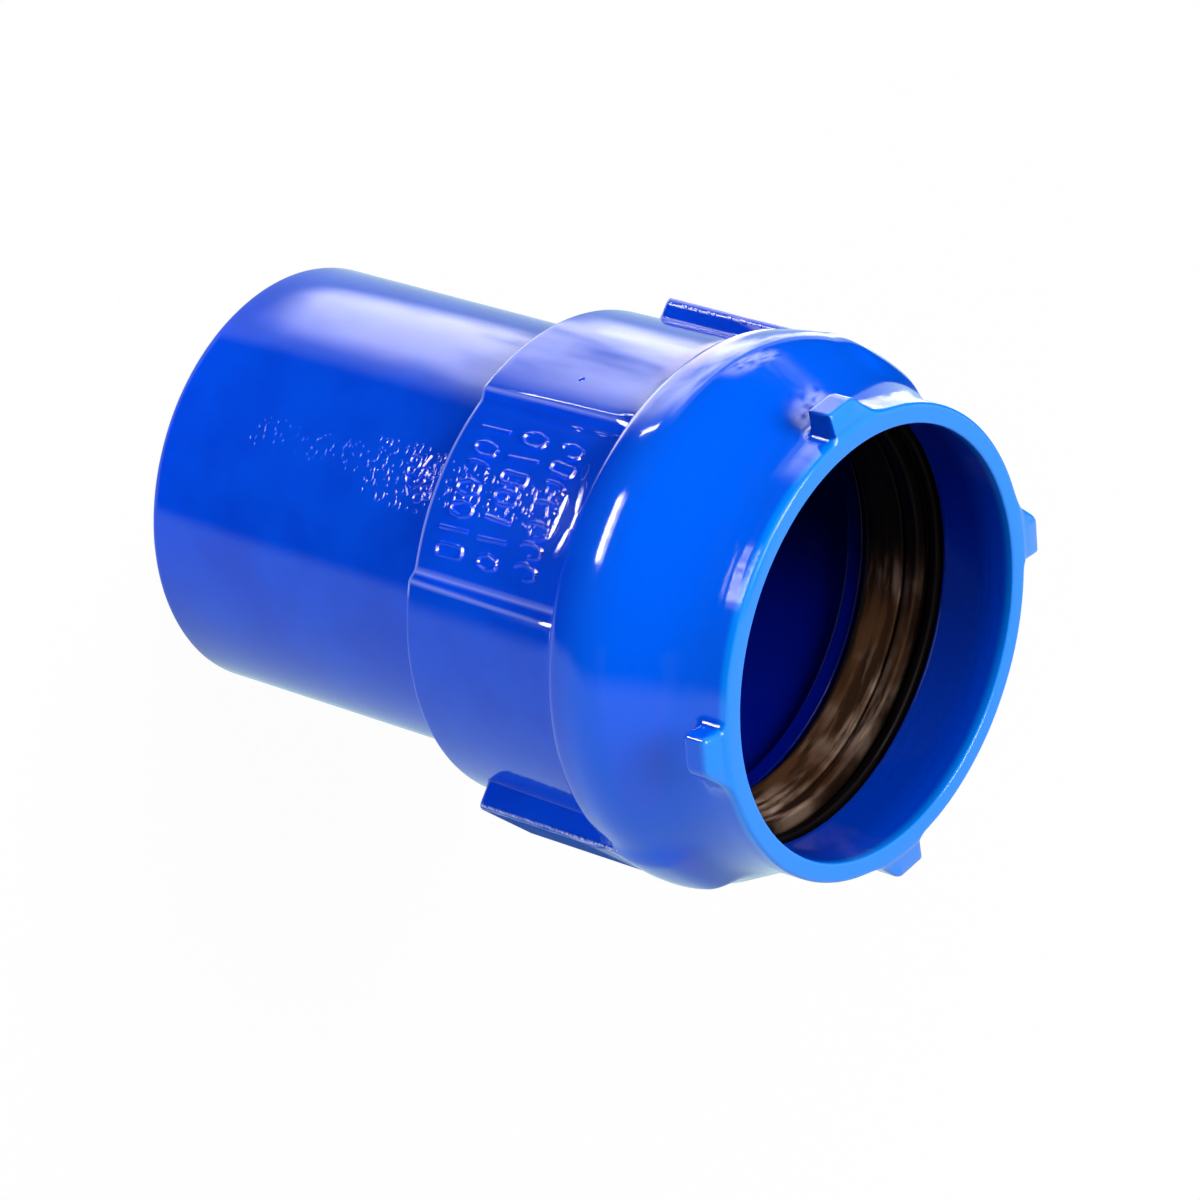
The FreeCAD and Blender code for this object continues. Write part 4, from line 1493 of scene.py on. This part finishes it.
    @staticmethod
    def runs() -> bpy.types.NodeTree:
        """Lay a flattened drop on each point, with its length round the axis.

        Returns:
            The tree.
        """
        tree, given, out = GeometryTrees.start("coating_runs", [("Roundness", 4.0), ("Tilt", 0.05)])
        get = given.outputs
        drop = tree.add("GeometryNodeMeshIcoSphere", {"Radius": 1.0, "Subdivisions": get["Roundness"]})
        outward = tree.vector("NORMALIZE", tree.flat(tree.position()))
        around = tree.vector("CROSS_PRODUCT", (0.0, 0.0, 1.0), outward)
        stood = tree.add("FunctionNodeAlignRotationToVector", {"Vector": outward}, axis="Z")
        inputs = {"Rotation": stood.outputs[0], "Vector": around}
        laid = tree.add("FunctionNodeAlignRotationToVector", inputs, axis="X", pivot_axis="Z")
        turned = tree.turned(laid.outputs[0], (0.0, 0.0, 1.0), tree.carried("turn", "FLOAT"))
        turned = tree.turned(turned, (1.0, 0.0, 0.0), tree.times(get["Tilt"], -1.0))
        placed = tree.add("GeometryNodeInstanceOnPoints", {
            0: get["Geometry"],
            "Instance": drop.outputs[0],
            "Rotation": turned,
            "Scale": tree.carried("size", "FLOAT_VECTOR"),
        })
        tree.close(placed.outputs[0], given, out)
        return tree.tree

    @staticmethod
    def lumps() -> bpy.types.NodeTree:
        """Scatter small flattened lumps over a surface.

        Returns:
            The tree.
        """
        sizes = [("Density", 100000.0), ("Least Size", 0.0002), ("Most Size", 0.0006), ("Flatness", 0.5),
                 ("Seed", 5.0)]
        tree, given, out = GeometryTrees.start("cast_lumps", sizes)
        get = given.outputs
        seed = get["Seed"]
        spread = tree.add("GeometryNodeDistributePointsOnFaces", {
            0: get["Geometry"], "Density": get["Density"], "Seed": seed})
        ball = tree.add("GeometryNodeMeshIcoSphere", {"Radius": 1.0, "Subdivisions": 2})
        size = tree.random("FLOAT", get["Least Size"], get["Most Size"], seed)
        stretch = tree.random("FLOAT", *GeometryTrees.lump_stretch, seed)
        scale = tree.joined(tree.times(size, stretch), size, tree.times(size, get["Flatness"]))
        placed = tree.add("GeometryNodeInstanceOnPoints", {
            0: spread.outputs[0],
            "Instance": ball.outputs[0],
            "Rotation": spread.outputs["Rotation"],
            "Scale": scale,
        })
        tree.close(placed.outputs[0], given, out)
        return tree.tree


@dataclass
class SealingRing:
    """The rubber ring in its groove, turned from its section."""

    name: str = "sealing_ring"
    turns: int = 300
    point_spacing: float = 1.6
    widest_turn: float = math.radians(20)
    sway_height: float = 0.22
    sway_scale: float = 26.0
    corners: list[Corner] = field(default_factory=lambda: [
        Corner(59.4, 161.9, 1.2),
        Corner(69.3, 161.9, 1.8),
        Corner(69.3, 175.5, 1.8),
        Corner(64.7, 185.1, 0.8),
        Corner(61.6, 185.1, 1.0),
        Corner(61.6, 182.3, 0.8),
        Corner(63.4, 182.3, 0.5),
        Corner(63.4, 180.3, 0.5),
        Corner(58.95, 180.3, 1.0),
        Corner(58.95, 175.9, 0.7),
        Corner(60.35, 175.9, 0.25),
        Corner(60.35, 175.2, 0.25),
        Corner(58.7, 175.2, 0.5),
        Corner(55.4, 165.6, 1.4),
    ])

    def build(self, rubber: bpy.types.Material) -> bpy.types.Object:
        """Make the ring's mesh.

        Args:
            rubber: the finish it gets.

        Returns:
            The finished piece.
        """
        dense = Section.through(self.corners)
        section = dense.thinned(np.full(len(dense.points), self.point_spacing), self.widest_turn)
        points = np.insert(section.points, 1, 0.0, axis=1)
        piece = mesh_object(self.name, points, [])
        grow(piece, GeometryTrees.lathe(), {
            "Turns": float(self.turns),
            "Section Points": float(len(points)),
            "Sway Height": self.sway_height * MM,
            "Sway Scale": self.sway_scale,
            "Material": rubber,
        })
        face_outwards(piece)
        finish_piece(piece, ["rubber_ring"])
        return piece


def face_outwards(piece: bpy.types.Object) -> None:
    """Turn a closed mesh's faces over if they enclose a negative volume.

    Args:
        piece: the object whose mesh it is.
    """
    work = bmesh.new()
    work.from_mesh(piece.data)
    if work.calc_volume(signed=True) < 0:
        bmesh.ops.reverse_faces(work, faces=work.faces)
        work.to_mesh(piece.data)
    work.free()


@dataclass
class RaisedMarks:
    """Plain raised shapes in rows, bent round the pipe: on the panel or as a lumpy patch."""

    name: str
    radius: float
    middle_height: float
    middle_angle: float
    rows: float
    columns: float
    row_step: float
    column_step: float
    shape_size: float
    bead_width: float
    bead_height: float
    slenderness: float = 0.5
    jitter: float = 0.3
    turn: float = 0.08
    least_scale: float = 0.85
    seed: float = 7.0

    def build(self, coating: bpy.types.Material) -> bpy.types.Object:
        """Make the marks.

        Args:
            coating: the finish they get.

        Returns:
            The finished piece.
        """
        piece = mesh_object(self.name, np.zeros((1, 3)), [])
        grow(piece, GeometryTrees.marks(), {
            "Rows": self.rows,
            "Columns": self.columns,
            "Row Step": self.row_step * MM,
            "Column Step": self.column_step * MM,
            "Shape Size": self.shape_size * MM,
            "Slenderness": self.slenderness,
            "Bead Width": self.bead_width * MM,
            "Bead Height": self.bead_height * MM,
            "Floor Radius": self.radius * MM,
            "Middle Height": self.middle_height * MM,
            "Middle Angle": math.radians(self.middle_angle),
            "Jitter": self.jitter * MM,
            "Turn": self.turn,
            "Least Scale": self.least_scale,
            "Seed": self.seed,
            "Material": coating,
        })
        finish_piece(piece)
        return piece


@dataclass(frozen=True)
class Run:
    """One run or nib of coating: its place on the casting, its sizes and its turn in degrees."""

    angle: float
    height: float
    length: float
    width: float
    thickness: float
    turn: float = 0.0


@dataclass
class CoatingRuns:
    """Runs and nibs of coating that lie on the casting's outside."""

    name: str = "coating_runs"
    tilt: float = 3.2
    roundness: float = 4.0
    ray_from: float = 95.0
    runs: list[Run] = field(default_factory=lambda: [
        Run(-95.2, 150.4, 10.0, 3.2, 0.24, 12.0),
        Run(-89.3, 146.2, 13.0, 3.4, 0.26, -3.0),
        Run(-83.7, 150.0, 9.0, 3.0, 0.24, -15.0),
        Run(-89.6, 151.6, 6.0, 2.4, 0.22, 0.0),
        Run(-101.0, 148.2, 5.0, 1.8, 0.24, 4.0),
        Run(-111.0, 138.5, 1.4, 5.0, 0.4, 0.0),
        Run(-111.3, 146.5, 1.2, 5.5, 0.4, 0.0),
        Run(-123.0, 130.4, 1.9, 1.7, 0.7),
    ])

    def place(self, casting: bpy.types.Object, run: Run) -> list[float]:
        """Find where a ray from outside meets the casting.

        Args:
            casting: the casting.
            run: the run that lies there.

        Returns:
            The run's middle, in millimetres.
        """
        angle = math.radians(run.angle)
        outward = Vector((math.cos(angle), math.sin(angle), 0.0))
        start = outward * self.ray_from * MM + Vector((0.0, 0.0, run.height * MM))
        _, spot, _, _ = casting.ray_cast(start, -outward)
        return list(spot / MM)

    def build(self, casting: bpy.types.Object, coating: bpy.types.Material) -> bpy.types.Object:
        """Make the runs.

        Args:
            casting: the casting they lie on.
            coating: the finish they get.

        Returns:
            The finished piece.
        """
        bpy.context.view_layer.update()
        points = np.array([self.place(casting, run) for run in self.runs])
        piece = mesh_object(self.name, points, [])
        sizes = np.array([[run.length, run.width, run.thickness] for run in self.runs]) * MM / 2
        layer = piece.data.attributes.new("size", "FLOAT_VECTOR", "POINT")
        layer.data.foreach_set("vector", sizes.reshape(-1).astype(np.float32))
        layer = piece.data.attributes.new("turn", "FLOAT", "POINT")
        layer.data.foreach_set("value", np.radians([run.turn for run in self.runs]).astype(np.float32))
        grow(piece, GeometryTrees.runs(), {
            "Roundness": self.roundness,
            "Tilt": math.radians(self.tilt),
            "Material": coating,
        })
        finish_piece(piece)
        return piece


@dataclass
class RoughPatch:
    """A patch of lumpy cast skin, laid over a stretch of the casting."""

    name: str
    radius: float
    angles: Range
    heights: Range
    density: float
    sizes: Range
    flatness: float
    seed: float
    steps: int = 8

    def build(self, coating: bpy.types.Material) -> bpy.types.Object:
        """Make the lumps.

        Args:
            coating: the finish they get.

        Returns:
            The finished piece.
        """
        corners = self.steps + 1
        angles = np.radians(np.linspace(*self.angles, corners))
        heights = np.linspace(*self.heights, corners)
        points = [[self.radius * math.cos(angle), self.radius * math.sin(angle), height]
                  for height in heights for angle in angles]
        index = np.arange(corners * corners).reshape(corners, corners)
        piece = mesh_object(self.name, np.array(points), grid_faces(index))
        grow(piece, GeometryTrees.lumps(), {
            "Density": self.density,
            "Least Size": self.sizes[0] * MM,
            "Most Size": self.sizes[1] * MM,
            "Flatness": self.flatness,
            "Seed": self.seed,
            "Material": coating,
        })
        finish_piece(piece)
        return piece


@dataclass
class CastRelief:
    """The fine relief on the casting: the panel's marks, lumps of cast skin and burrs on the bars."""

    marks: list[RaisedMarks] = field(default_factory=lambda: [
        RaisedMarks("panel_marks", radius=67.15, middle_height=127.6, middle_angle=-90.0, rows=3.0,
                    columns=7.0, row_step=13.2, column_step=5.9, shape_size=4.4, bead_width=1.9,
                    bead_height=0.75),
        RaisedMarks("spigot_scribbles", radius=60.93, middle_height=95.0, middle_angle=-89.5, rows=4.0,
                    columns=4.0, row_step=3.6, column_step=3.0, shape_size=2.0, bead_width=1.1,
                    bead_height=0.5, slenderness=0.8, jitter=1.2, turn=3.1, least_scale=0.5, seed=3.0),
    ])
    patches: list[RoughPatch] = field(default_factory=lambda: [
        RoughPatch("spigot_trail", radius=60.9, angles=(-95.0, -86.0), heights=(30.0, 78.0),
                   density=230000.0, sizes=(0.15, 0.42), flatness=0.3, seed=4.0),
        RoughPatch("spigot_patch", radius=60.9, angles=(-98.0, -81.0), heights=(74.0, 102.0),
                   density=260000.0, sizes=(0.25, 0.8), flatness=0.38, seed=9.0),
        RoughPatch("panel_trail", radius=67.12, angles=(-95.0, -84.0), heights=(106.0, 146.0),
                   density=240000.0, sizes=(0.3, 0.9), flatness=0.4, seed=6.0),
    ])
    burrs: list[RoughPatch] = field(default_factory=lambda: [
        RoughPatch("worn_bar_flash", radius=77.1, angles=(-10.55, -10.1), heights=(117.5, 168.0),
                   density=3000000.0, sizes=(0.16, 0.45), flatness=0.7, seed=5.0),
        RoughPatch("far_bar_flash", radius=74.6, angles=(190.8, 191.1), heights=(114.5, 158.0),
                   density=1600000.0, sizes=(0.2, 0.5), flatness=0.7, seed=8.0),
    ])

    def build(self, coating: bpy.types.Material, burr: bpy.types.Material) -> None:
        """Make every piece of relief.

        Args:
            coating: the finish of marks and lumps.
            burr: the pale finish of the burrs, partly scraped coating and partly a painted highlight.
        """
        for piece in (*self.marks, *self.patches):
            piece.build(coating)
        for piece in self.burrs:
            piece.build(burr)


@dataclass(frozen=True)
class GlossCard:
    """A card round the object that only gloss shows: black keeps a side deep, white lights a band.

    Its place is given by its image. The angles are those of the strip of pipe in which the camera
    sees its near edge and its far edge. Each edge lies at a distance from the pipe and a height, in
    metres. Its two sides fade out over a few degrees and its ends over a share of its depth. Its
    glow can be broken up by cloudy noise: a mask that runs from low to high. A glowing card that
    lies low glows only steeply, as through a honeycomb.
    """

    name: str
    near: Range
    far: Range
    distances: Range
    heights: Range
    glow: float = 0.0
    fade: float = 1.0
    wide_start: float = 1.0
    end_fades: Range = (0.0, 0.0)
    cloud_scale: float = 20.0
    cloud: Range = (-2.0, -1.0)
    tint: Color = WHITE
    one_sided: bool = False
    honeycomb: Range = (0.6, 0.52)
    low_card: float = 0.01
    columns: int = 40
    rows: int = 16
    pipe_radius: float = 0.066
    view_angle: float = math.radians(-82.59)

    def build(self) -> None:
        """Make the card and hide it from all but glossy rays."""
        across = np.linspace(0, 1, self.columns + 1)
        shares = np.linspace(0, 1, self.rows + 1)
        points = np.concatenate([self.row(share, across) for share in shares])
        cover = np.concatenate([self.cover(share, across) for share in shares])
        index = np.arange(len(points)).reshape(self.rows + 1, -1)
        card = mesh_object(self.name, points / MM, grid_faces(index))
        layer = card.data.attributes.new("cover", "FLOAT", "POINT")
        layer.data.foreach_set("value", cover.astype(np.float32))
        card.data.materials.append(self.material())
        card.visible_camera = False
        card.visible_diffuse = False
        card.visible_shadow = False
        card.visible_transmission = False

    def sides(self, share: float) -> Range:
        """Give the two angles between which one row of the card is seen on the pipe."""
        first, last = (near + (far - near) * share for near, far in zip(self.near, self.far))
        return first, last

    def row(self, share: float, across: np.ndarray) -> np.ndarray:
        """Place one row of the card's points where the pipe mirrors them to the camera.

        Args:
            share: how far the row lies from the near edge to the far edge.
            across: how far each point lies from one side to the other.

        Returns:
            The points, in metres.
        """
        first, last = self.sides(share)
        angles = np.radians(first + (last - first) * across)
        mirrored = 2 * angles - self.view_angle
        distance = self.distances[0] + (self.distances[1] - self.distances[0]) * share
        height = self.heights[0] + (self.heights[1] - self.heights[0]) * share
        x = self.pipe_radius * np.cos(angles) + distance * np.cos(mirrored)
        y = self.pipe_radius * np.sin(angles) + distance * np.sin(mirrored)
        return np.stack([x, y, np.full(len(angles), height)], -1)

    def cover(self, share: float, across: np.ndarray) -> np.ndarray:
        """Say how much of the card is there, less towards its sides and ends.

        Args:
            share: how far the row lies from the near edge to the far edge.
            across: how far each point lies from one side to the other.

        Returns:
            The cover of each point, from 0 to 1.
        """
        first, last = self.sides(share)
        sides = np.minimum(across / self.wide_start, 1 - across) * abs(last - first) / self.fade
        start, end = self.end_fades
        opening = min(share / start, 1.0) if start else 1.0
        closing = min((1 - share) / end, 1.0) if end else 1.0
        return np.clip(sides, 0, 1) * opening * closing

    def material(self) -> bpy.types.Material:
        """Make the card's glow, clear towards its sides.

        Returns:
            The material.
        """
        material, tree, surface = new_material(self.name)
        cloud = tree.noise(tree.spot, self.cloud_scale, 3.0)
        cover = tree.times(tree.ramp(tree.attribute("cover"), 0.0, 1.0), tree.ramp(cloud, *self.cloud))
        if self.one_sided:
            back = tree.add("ShaderNodeNewGeometry").outputs["Backfacing"]
            cover = tree.times(cover, tree.math("SUBTRACT", 1.0, back))
        elif self.glow and max(self.heights) < self.low_card:
            grazing = tree.add("ShaderNodeLayerWeight", {"Blend": 0.5}).outputs["Facing"]
            cover = tree.times(cover, tree.ramp(grazing, *self.honeycomb))
        clear = tree.add("ShaderNodeBsdfTransparent")
        glow = tree.add("ShaderNodeEmission", {"Color": self.tint, "Strength": self.glow})
        tree.put(surface, tree.mixed(cover, clear, glow))
        return material


@dataclass(frozen=True)
class Softbox:
    """One soft lamp: where it stands from the object's middle, its size and its power."""

    name: str
    direction: Place
    distance: float
    width: float
    height: float
    power: float
    glossy: bool = True

    def build(self, target: Vector) -> None:
        """Make the lamp, aimed at the object's middle.

        Args:
            target: the object's middle.
        """
        data = bpy.data.lights.new(self.name, "AREA")
        data.shape = "RECTANGLE"
        data.size = self.width
        data.size_y = self.height
        data.energy = self.power
        lamp = bpy.data.objects.new(self.name, data)
        away = Vector(self.direction).normalized()
        lamp.location = target + away * self.distance
        lamp.rotation_euler = away.to_track_quat("Z", "Y").to_euler()
        lamp.visible_glossy = self.glossy
        bpy.context.scene.collection.objects.link(lamp)


def front_cards() -> list[GlossCard]:
    """Choose the cards in front, on the camera's side.

    Returns:
        Two black cards that keep the coating deep, and three that glint in it.
    """
    return [
        GlossCard("front_card", near=(-118.5, -57.5), far=(-116.0, -57.5), distances=(-0.004, 0.42),
                  heights=(0.001, 0.001), fade=5.0),
        GlossCard("standing_card", near=(-172.0, -57.5), far=(-172.0, -57.5), distances=(0.42, 0.42),
                  heights=(0.0, 0.33), fade=6.0, wide_start=1.6),
        GlossCard("front_glint", near=(-97.0, -81.5), far=(-97.0, -81.5), distances=(0.212, 0.30),
                  heights=(0.005, 0.005), glow=70.0, fade=2.0, end_fades=(0.15, 0.15), cloud_scale=85.0,
                  cloud=(0.42, 0.5)),
        GlossCard("front_sheen", near=(-97.0, -80.0), far=(-97.0, -80.0), distances=(0.282, 0.33),
                  heights=(0.005, 0.005), glow=22.0, fade=3.0, end_fades=(0.1, 0.3), cloud_scale=70.0,
                  cloud=(0.4, 0.6)),
        GlossCard("front_bar", near=(-97.0, -81.0), far=(-97.0, -81.0), distances=(0.33, 0.38),
                  heights=(0.005, 0.005), glow=40.0, fade=3.0, end_fades=(0.2, 0.2), cloud_scale=60.0,
                  cloud=(0.38, 0.52)),
    ]


def side_cards() -> list[GlossCard]:
    """Choose the cards beside the object.

    Returns:
        The card of the long bright band, and those of the glare, far edge and panel's edge near it.
    """
    return [
        GlossCard("side_band", near=(-151.0, -118.0), far=(-157.0, -112.0), distances=(-0.004, 0.335),
                  heights=(0.003, 0.003), glow=6.8, fade=10.0, end_fades=(0.02, 0.1), cloud_scale=14.0,
                  cloud=(0.22, 0.64)),
        GlossCard("side_glare", near=(-140.0, -125.0), far=(-140.0, -125.0), distances=(0.38, 0.38),
                  heights=(0.0, 0.19), glow=7.0, fade=5.0, end_fades=(0.1, 0.5), cloud_scale=30.0,
                  cloud=(0.35, 0.6)),
        GlossCard("far_light", near=(-168.0, -146.0), far=(-168.0, -146.0), distances=(0.25, 0.34),
                  heights=(0.003, 0.003), glow=5.0, fade=6.0, end_fades=(0.2, 0.2), cloud_scale=25.0,
                  cloud=(0.3, 0.6)),
        GlossCard("edge_light", near=(-114.0, -112.2), far=(-114.0, -112.2), distances=(0.14, 0.215),
                  heights=(0.004, 0.004), glow=30.0, fade=0.3),
    ]


def hovering_cards() -> list[GlossCard]:
    """Choose the cards that hover over the panel and the shoulder.

    Returns:
        Two one-sided cards that glint in flanks which face up, and one that lights the shoulder.
    """
    return [
        GlossCard("over_glint", near=(-97.5, -81.5), far=(-97.5, -81.5), distances=(0.016, 0.30),
                  heights=(0.158, 0.158), glow=120.0, fade=2.0, end_fades=(0.0, 0.1), cloud_scale=70.0,
                  cloud=(0.36, 0.5), tint=(1.0, 0.84, 0.9, 1.0), one_sided=True),
        GlossCard("over_light", near=(-113.0, -66.0), far=(-113.0, -66.0), distances=(0.016, 0.30),
                  heights=(0.156, 0.156), glow=22.0, fade=3.0, end_fades=(0.0, 0.1), cloud_scale=40.0,
                  cloud=(0.3, 0.6), tint=(1.0, 0.92, 0.96, 1.0), one_sided=True),
        GlossCard("shoulder_light", near=(-168.0, -126.0), far=(-168.0, -126.0), distances=(0.026, 0.042),
                  heights=(0.13, 0.13), glow=6.0, fade=8.0, end_fades=(0.3, 0.3), cloud_scale=60.0,
                  cloud=(0.25, 0.6), tint=(1.0, 0.9, 0.94, 1.0)),
    ]


@dataclass
class Studio:
    """Camera, floor, surroundings and lamps."""

    camera_place: Place = (0.17097872, -1.23584174, 1.03880340)
    camera_right: Place = (-0.35798116, 0.52707157, 0.77074318)
    camera_down: Place = (0.92794187, 0.29257895, 0.23091436)
    camera_forward: Place = (-0.10379484, 0.79786786, -0.59382953)
    lens: float = 167.544
    sensor_width: float = 36.0
    clip: Range = (0.05, 50.0)
    middle: Place = (0.0, 0.0, 0.106)
    floor_reach: float = 12.0
    ambient: float = 0.125
    lamps: list[Softbox] = field(default_factory=lambda: [
        Softbox("key", (-0.34, -0.30, 0.88), distance=1.6, width=0.9, height=0.9, power=31.0),
        Softbox("fill", (0.75, -0.66, 0.0), distance=1.8, width=0.9, height=0.6, power=15.0, glossy=False),
    ])

    def build(self) -> None:
        """Set up the whole studio."""
        scene = bpy.context.scene
        scene.view_settings.view_transform = "Standard"
        self.add_camera(scene)
        self.add_floor()
        self.add_world(scene)
        for lamp in self.lamps:
            lamp.build(Vector(self.middle))
        for card in (*front_cards(), *side_cards(), *hovering_cards()):
            card.build()

    def add_camera(self, scene: bpy.types.Scene) -> None:
        """Place the camera at the photograph's view.

        Args:
            scene: the scene it is for.
        """
        data = bpy.data.cameras.new("camera")
        data.lens = self.lens
        data.sensor_width = self.sensor_width
        data.clip_start, data.clip_end = self.clip
        camera = bpy.data.objects.new("camera", data)
        right = Vector(self.camera_right)
        up = -Vector(self.camera_down)
        back = -Vector(self.camera_forward)
        turn = Matrix((right, up, back)).transposed()
        camera.matrix_world = Matrix.Translation(self.camera_place) @ turn.to_4x4()
        scene.collection.objects.link(camera)
        scene.camera = camera

    def add_floor(self) -> None:
        """Lay the plain white floor."""
        reach = self.floor_reach / MM
        corners = np.array([[-reach, -reach, 0], [reach, -reach, 0], [reach, reach, 0], [-reach, reach, 0]])
        floor = mesh_object("floor", corners, [(0, 1, 2, 3)])
        floor.data.materials.append(FloorFinish().build())

    def add_world(self, scene: bpy.types.Scene) -> None:
        """Make surroundings that are white to look at, and soft and dimmer as light on the object.

        Args:
            scene: the scene they are for.
        """
        world = bpy.data.worlds.new("surroundings")
        world.use_nodes = True
        tree = ShadeTree(world.node_tree)
        out = tree.add("ShaderNodeOutputWorld")
        soft = tree.add("ShaderNodeBackground", {0: WHITE, "Strength": self.ambient})
        white = tree.add("ShaderNodeBackground", {0: WHITE, "Strength": 1.0})
        tree.put(out.inputs["Surface"], tree.mixed(tree.seen_directly(), soft, white))
        scene.world = world


def main() -> None:
    """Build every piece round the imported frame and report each."""
    logging.basicConfig(level=logging.INFO, format="%(name)s %(message)s")
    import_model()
    parts = ShaderParts()
    coating = CoatingFinish().build(parts)
    rubber = RubberFinish().build(parts)
    # the burrs' pale colour is partly scraped coating and partly a painted highlight
    burr = CoatingFinish("pale_burr_highlight", deep=(0.62, 0.72, 0.95, 1.0), bright=(0.85, 0.9, 1.0, 1.0),
                         bulge=(0.7, 0.8, 0.98, 1.0)).build(parts)
    casting = CastBody().build(coating)
    CoatingRuns().build(casting, coating)
    SealingRing().build(rubber)
    CastRelief().build(coating, burr)
    Studio().build()


if __name__ == "__main__":
    main()
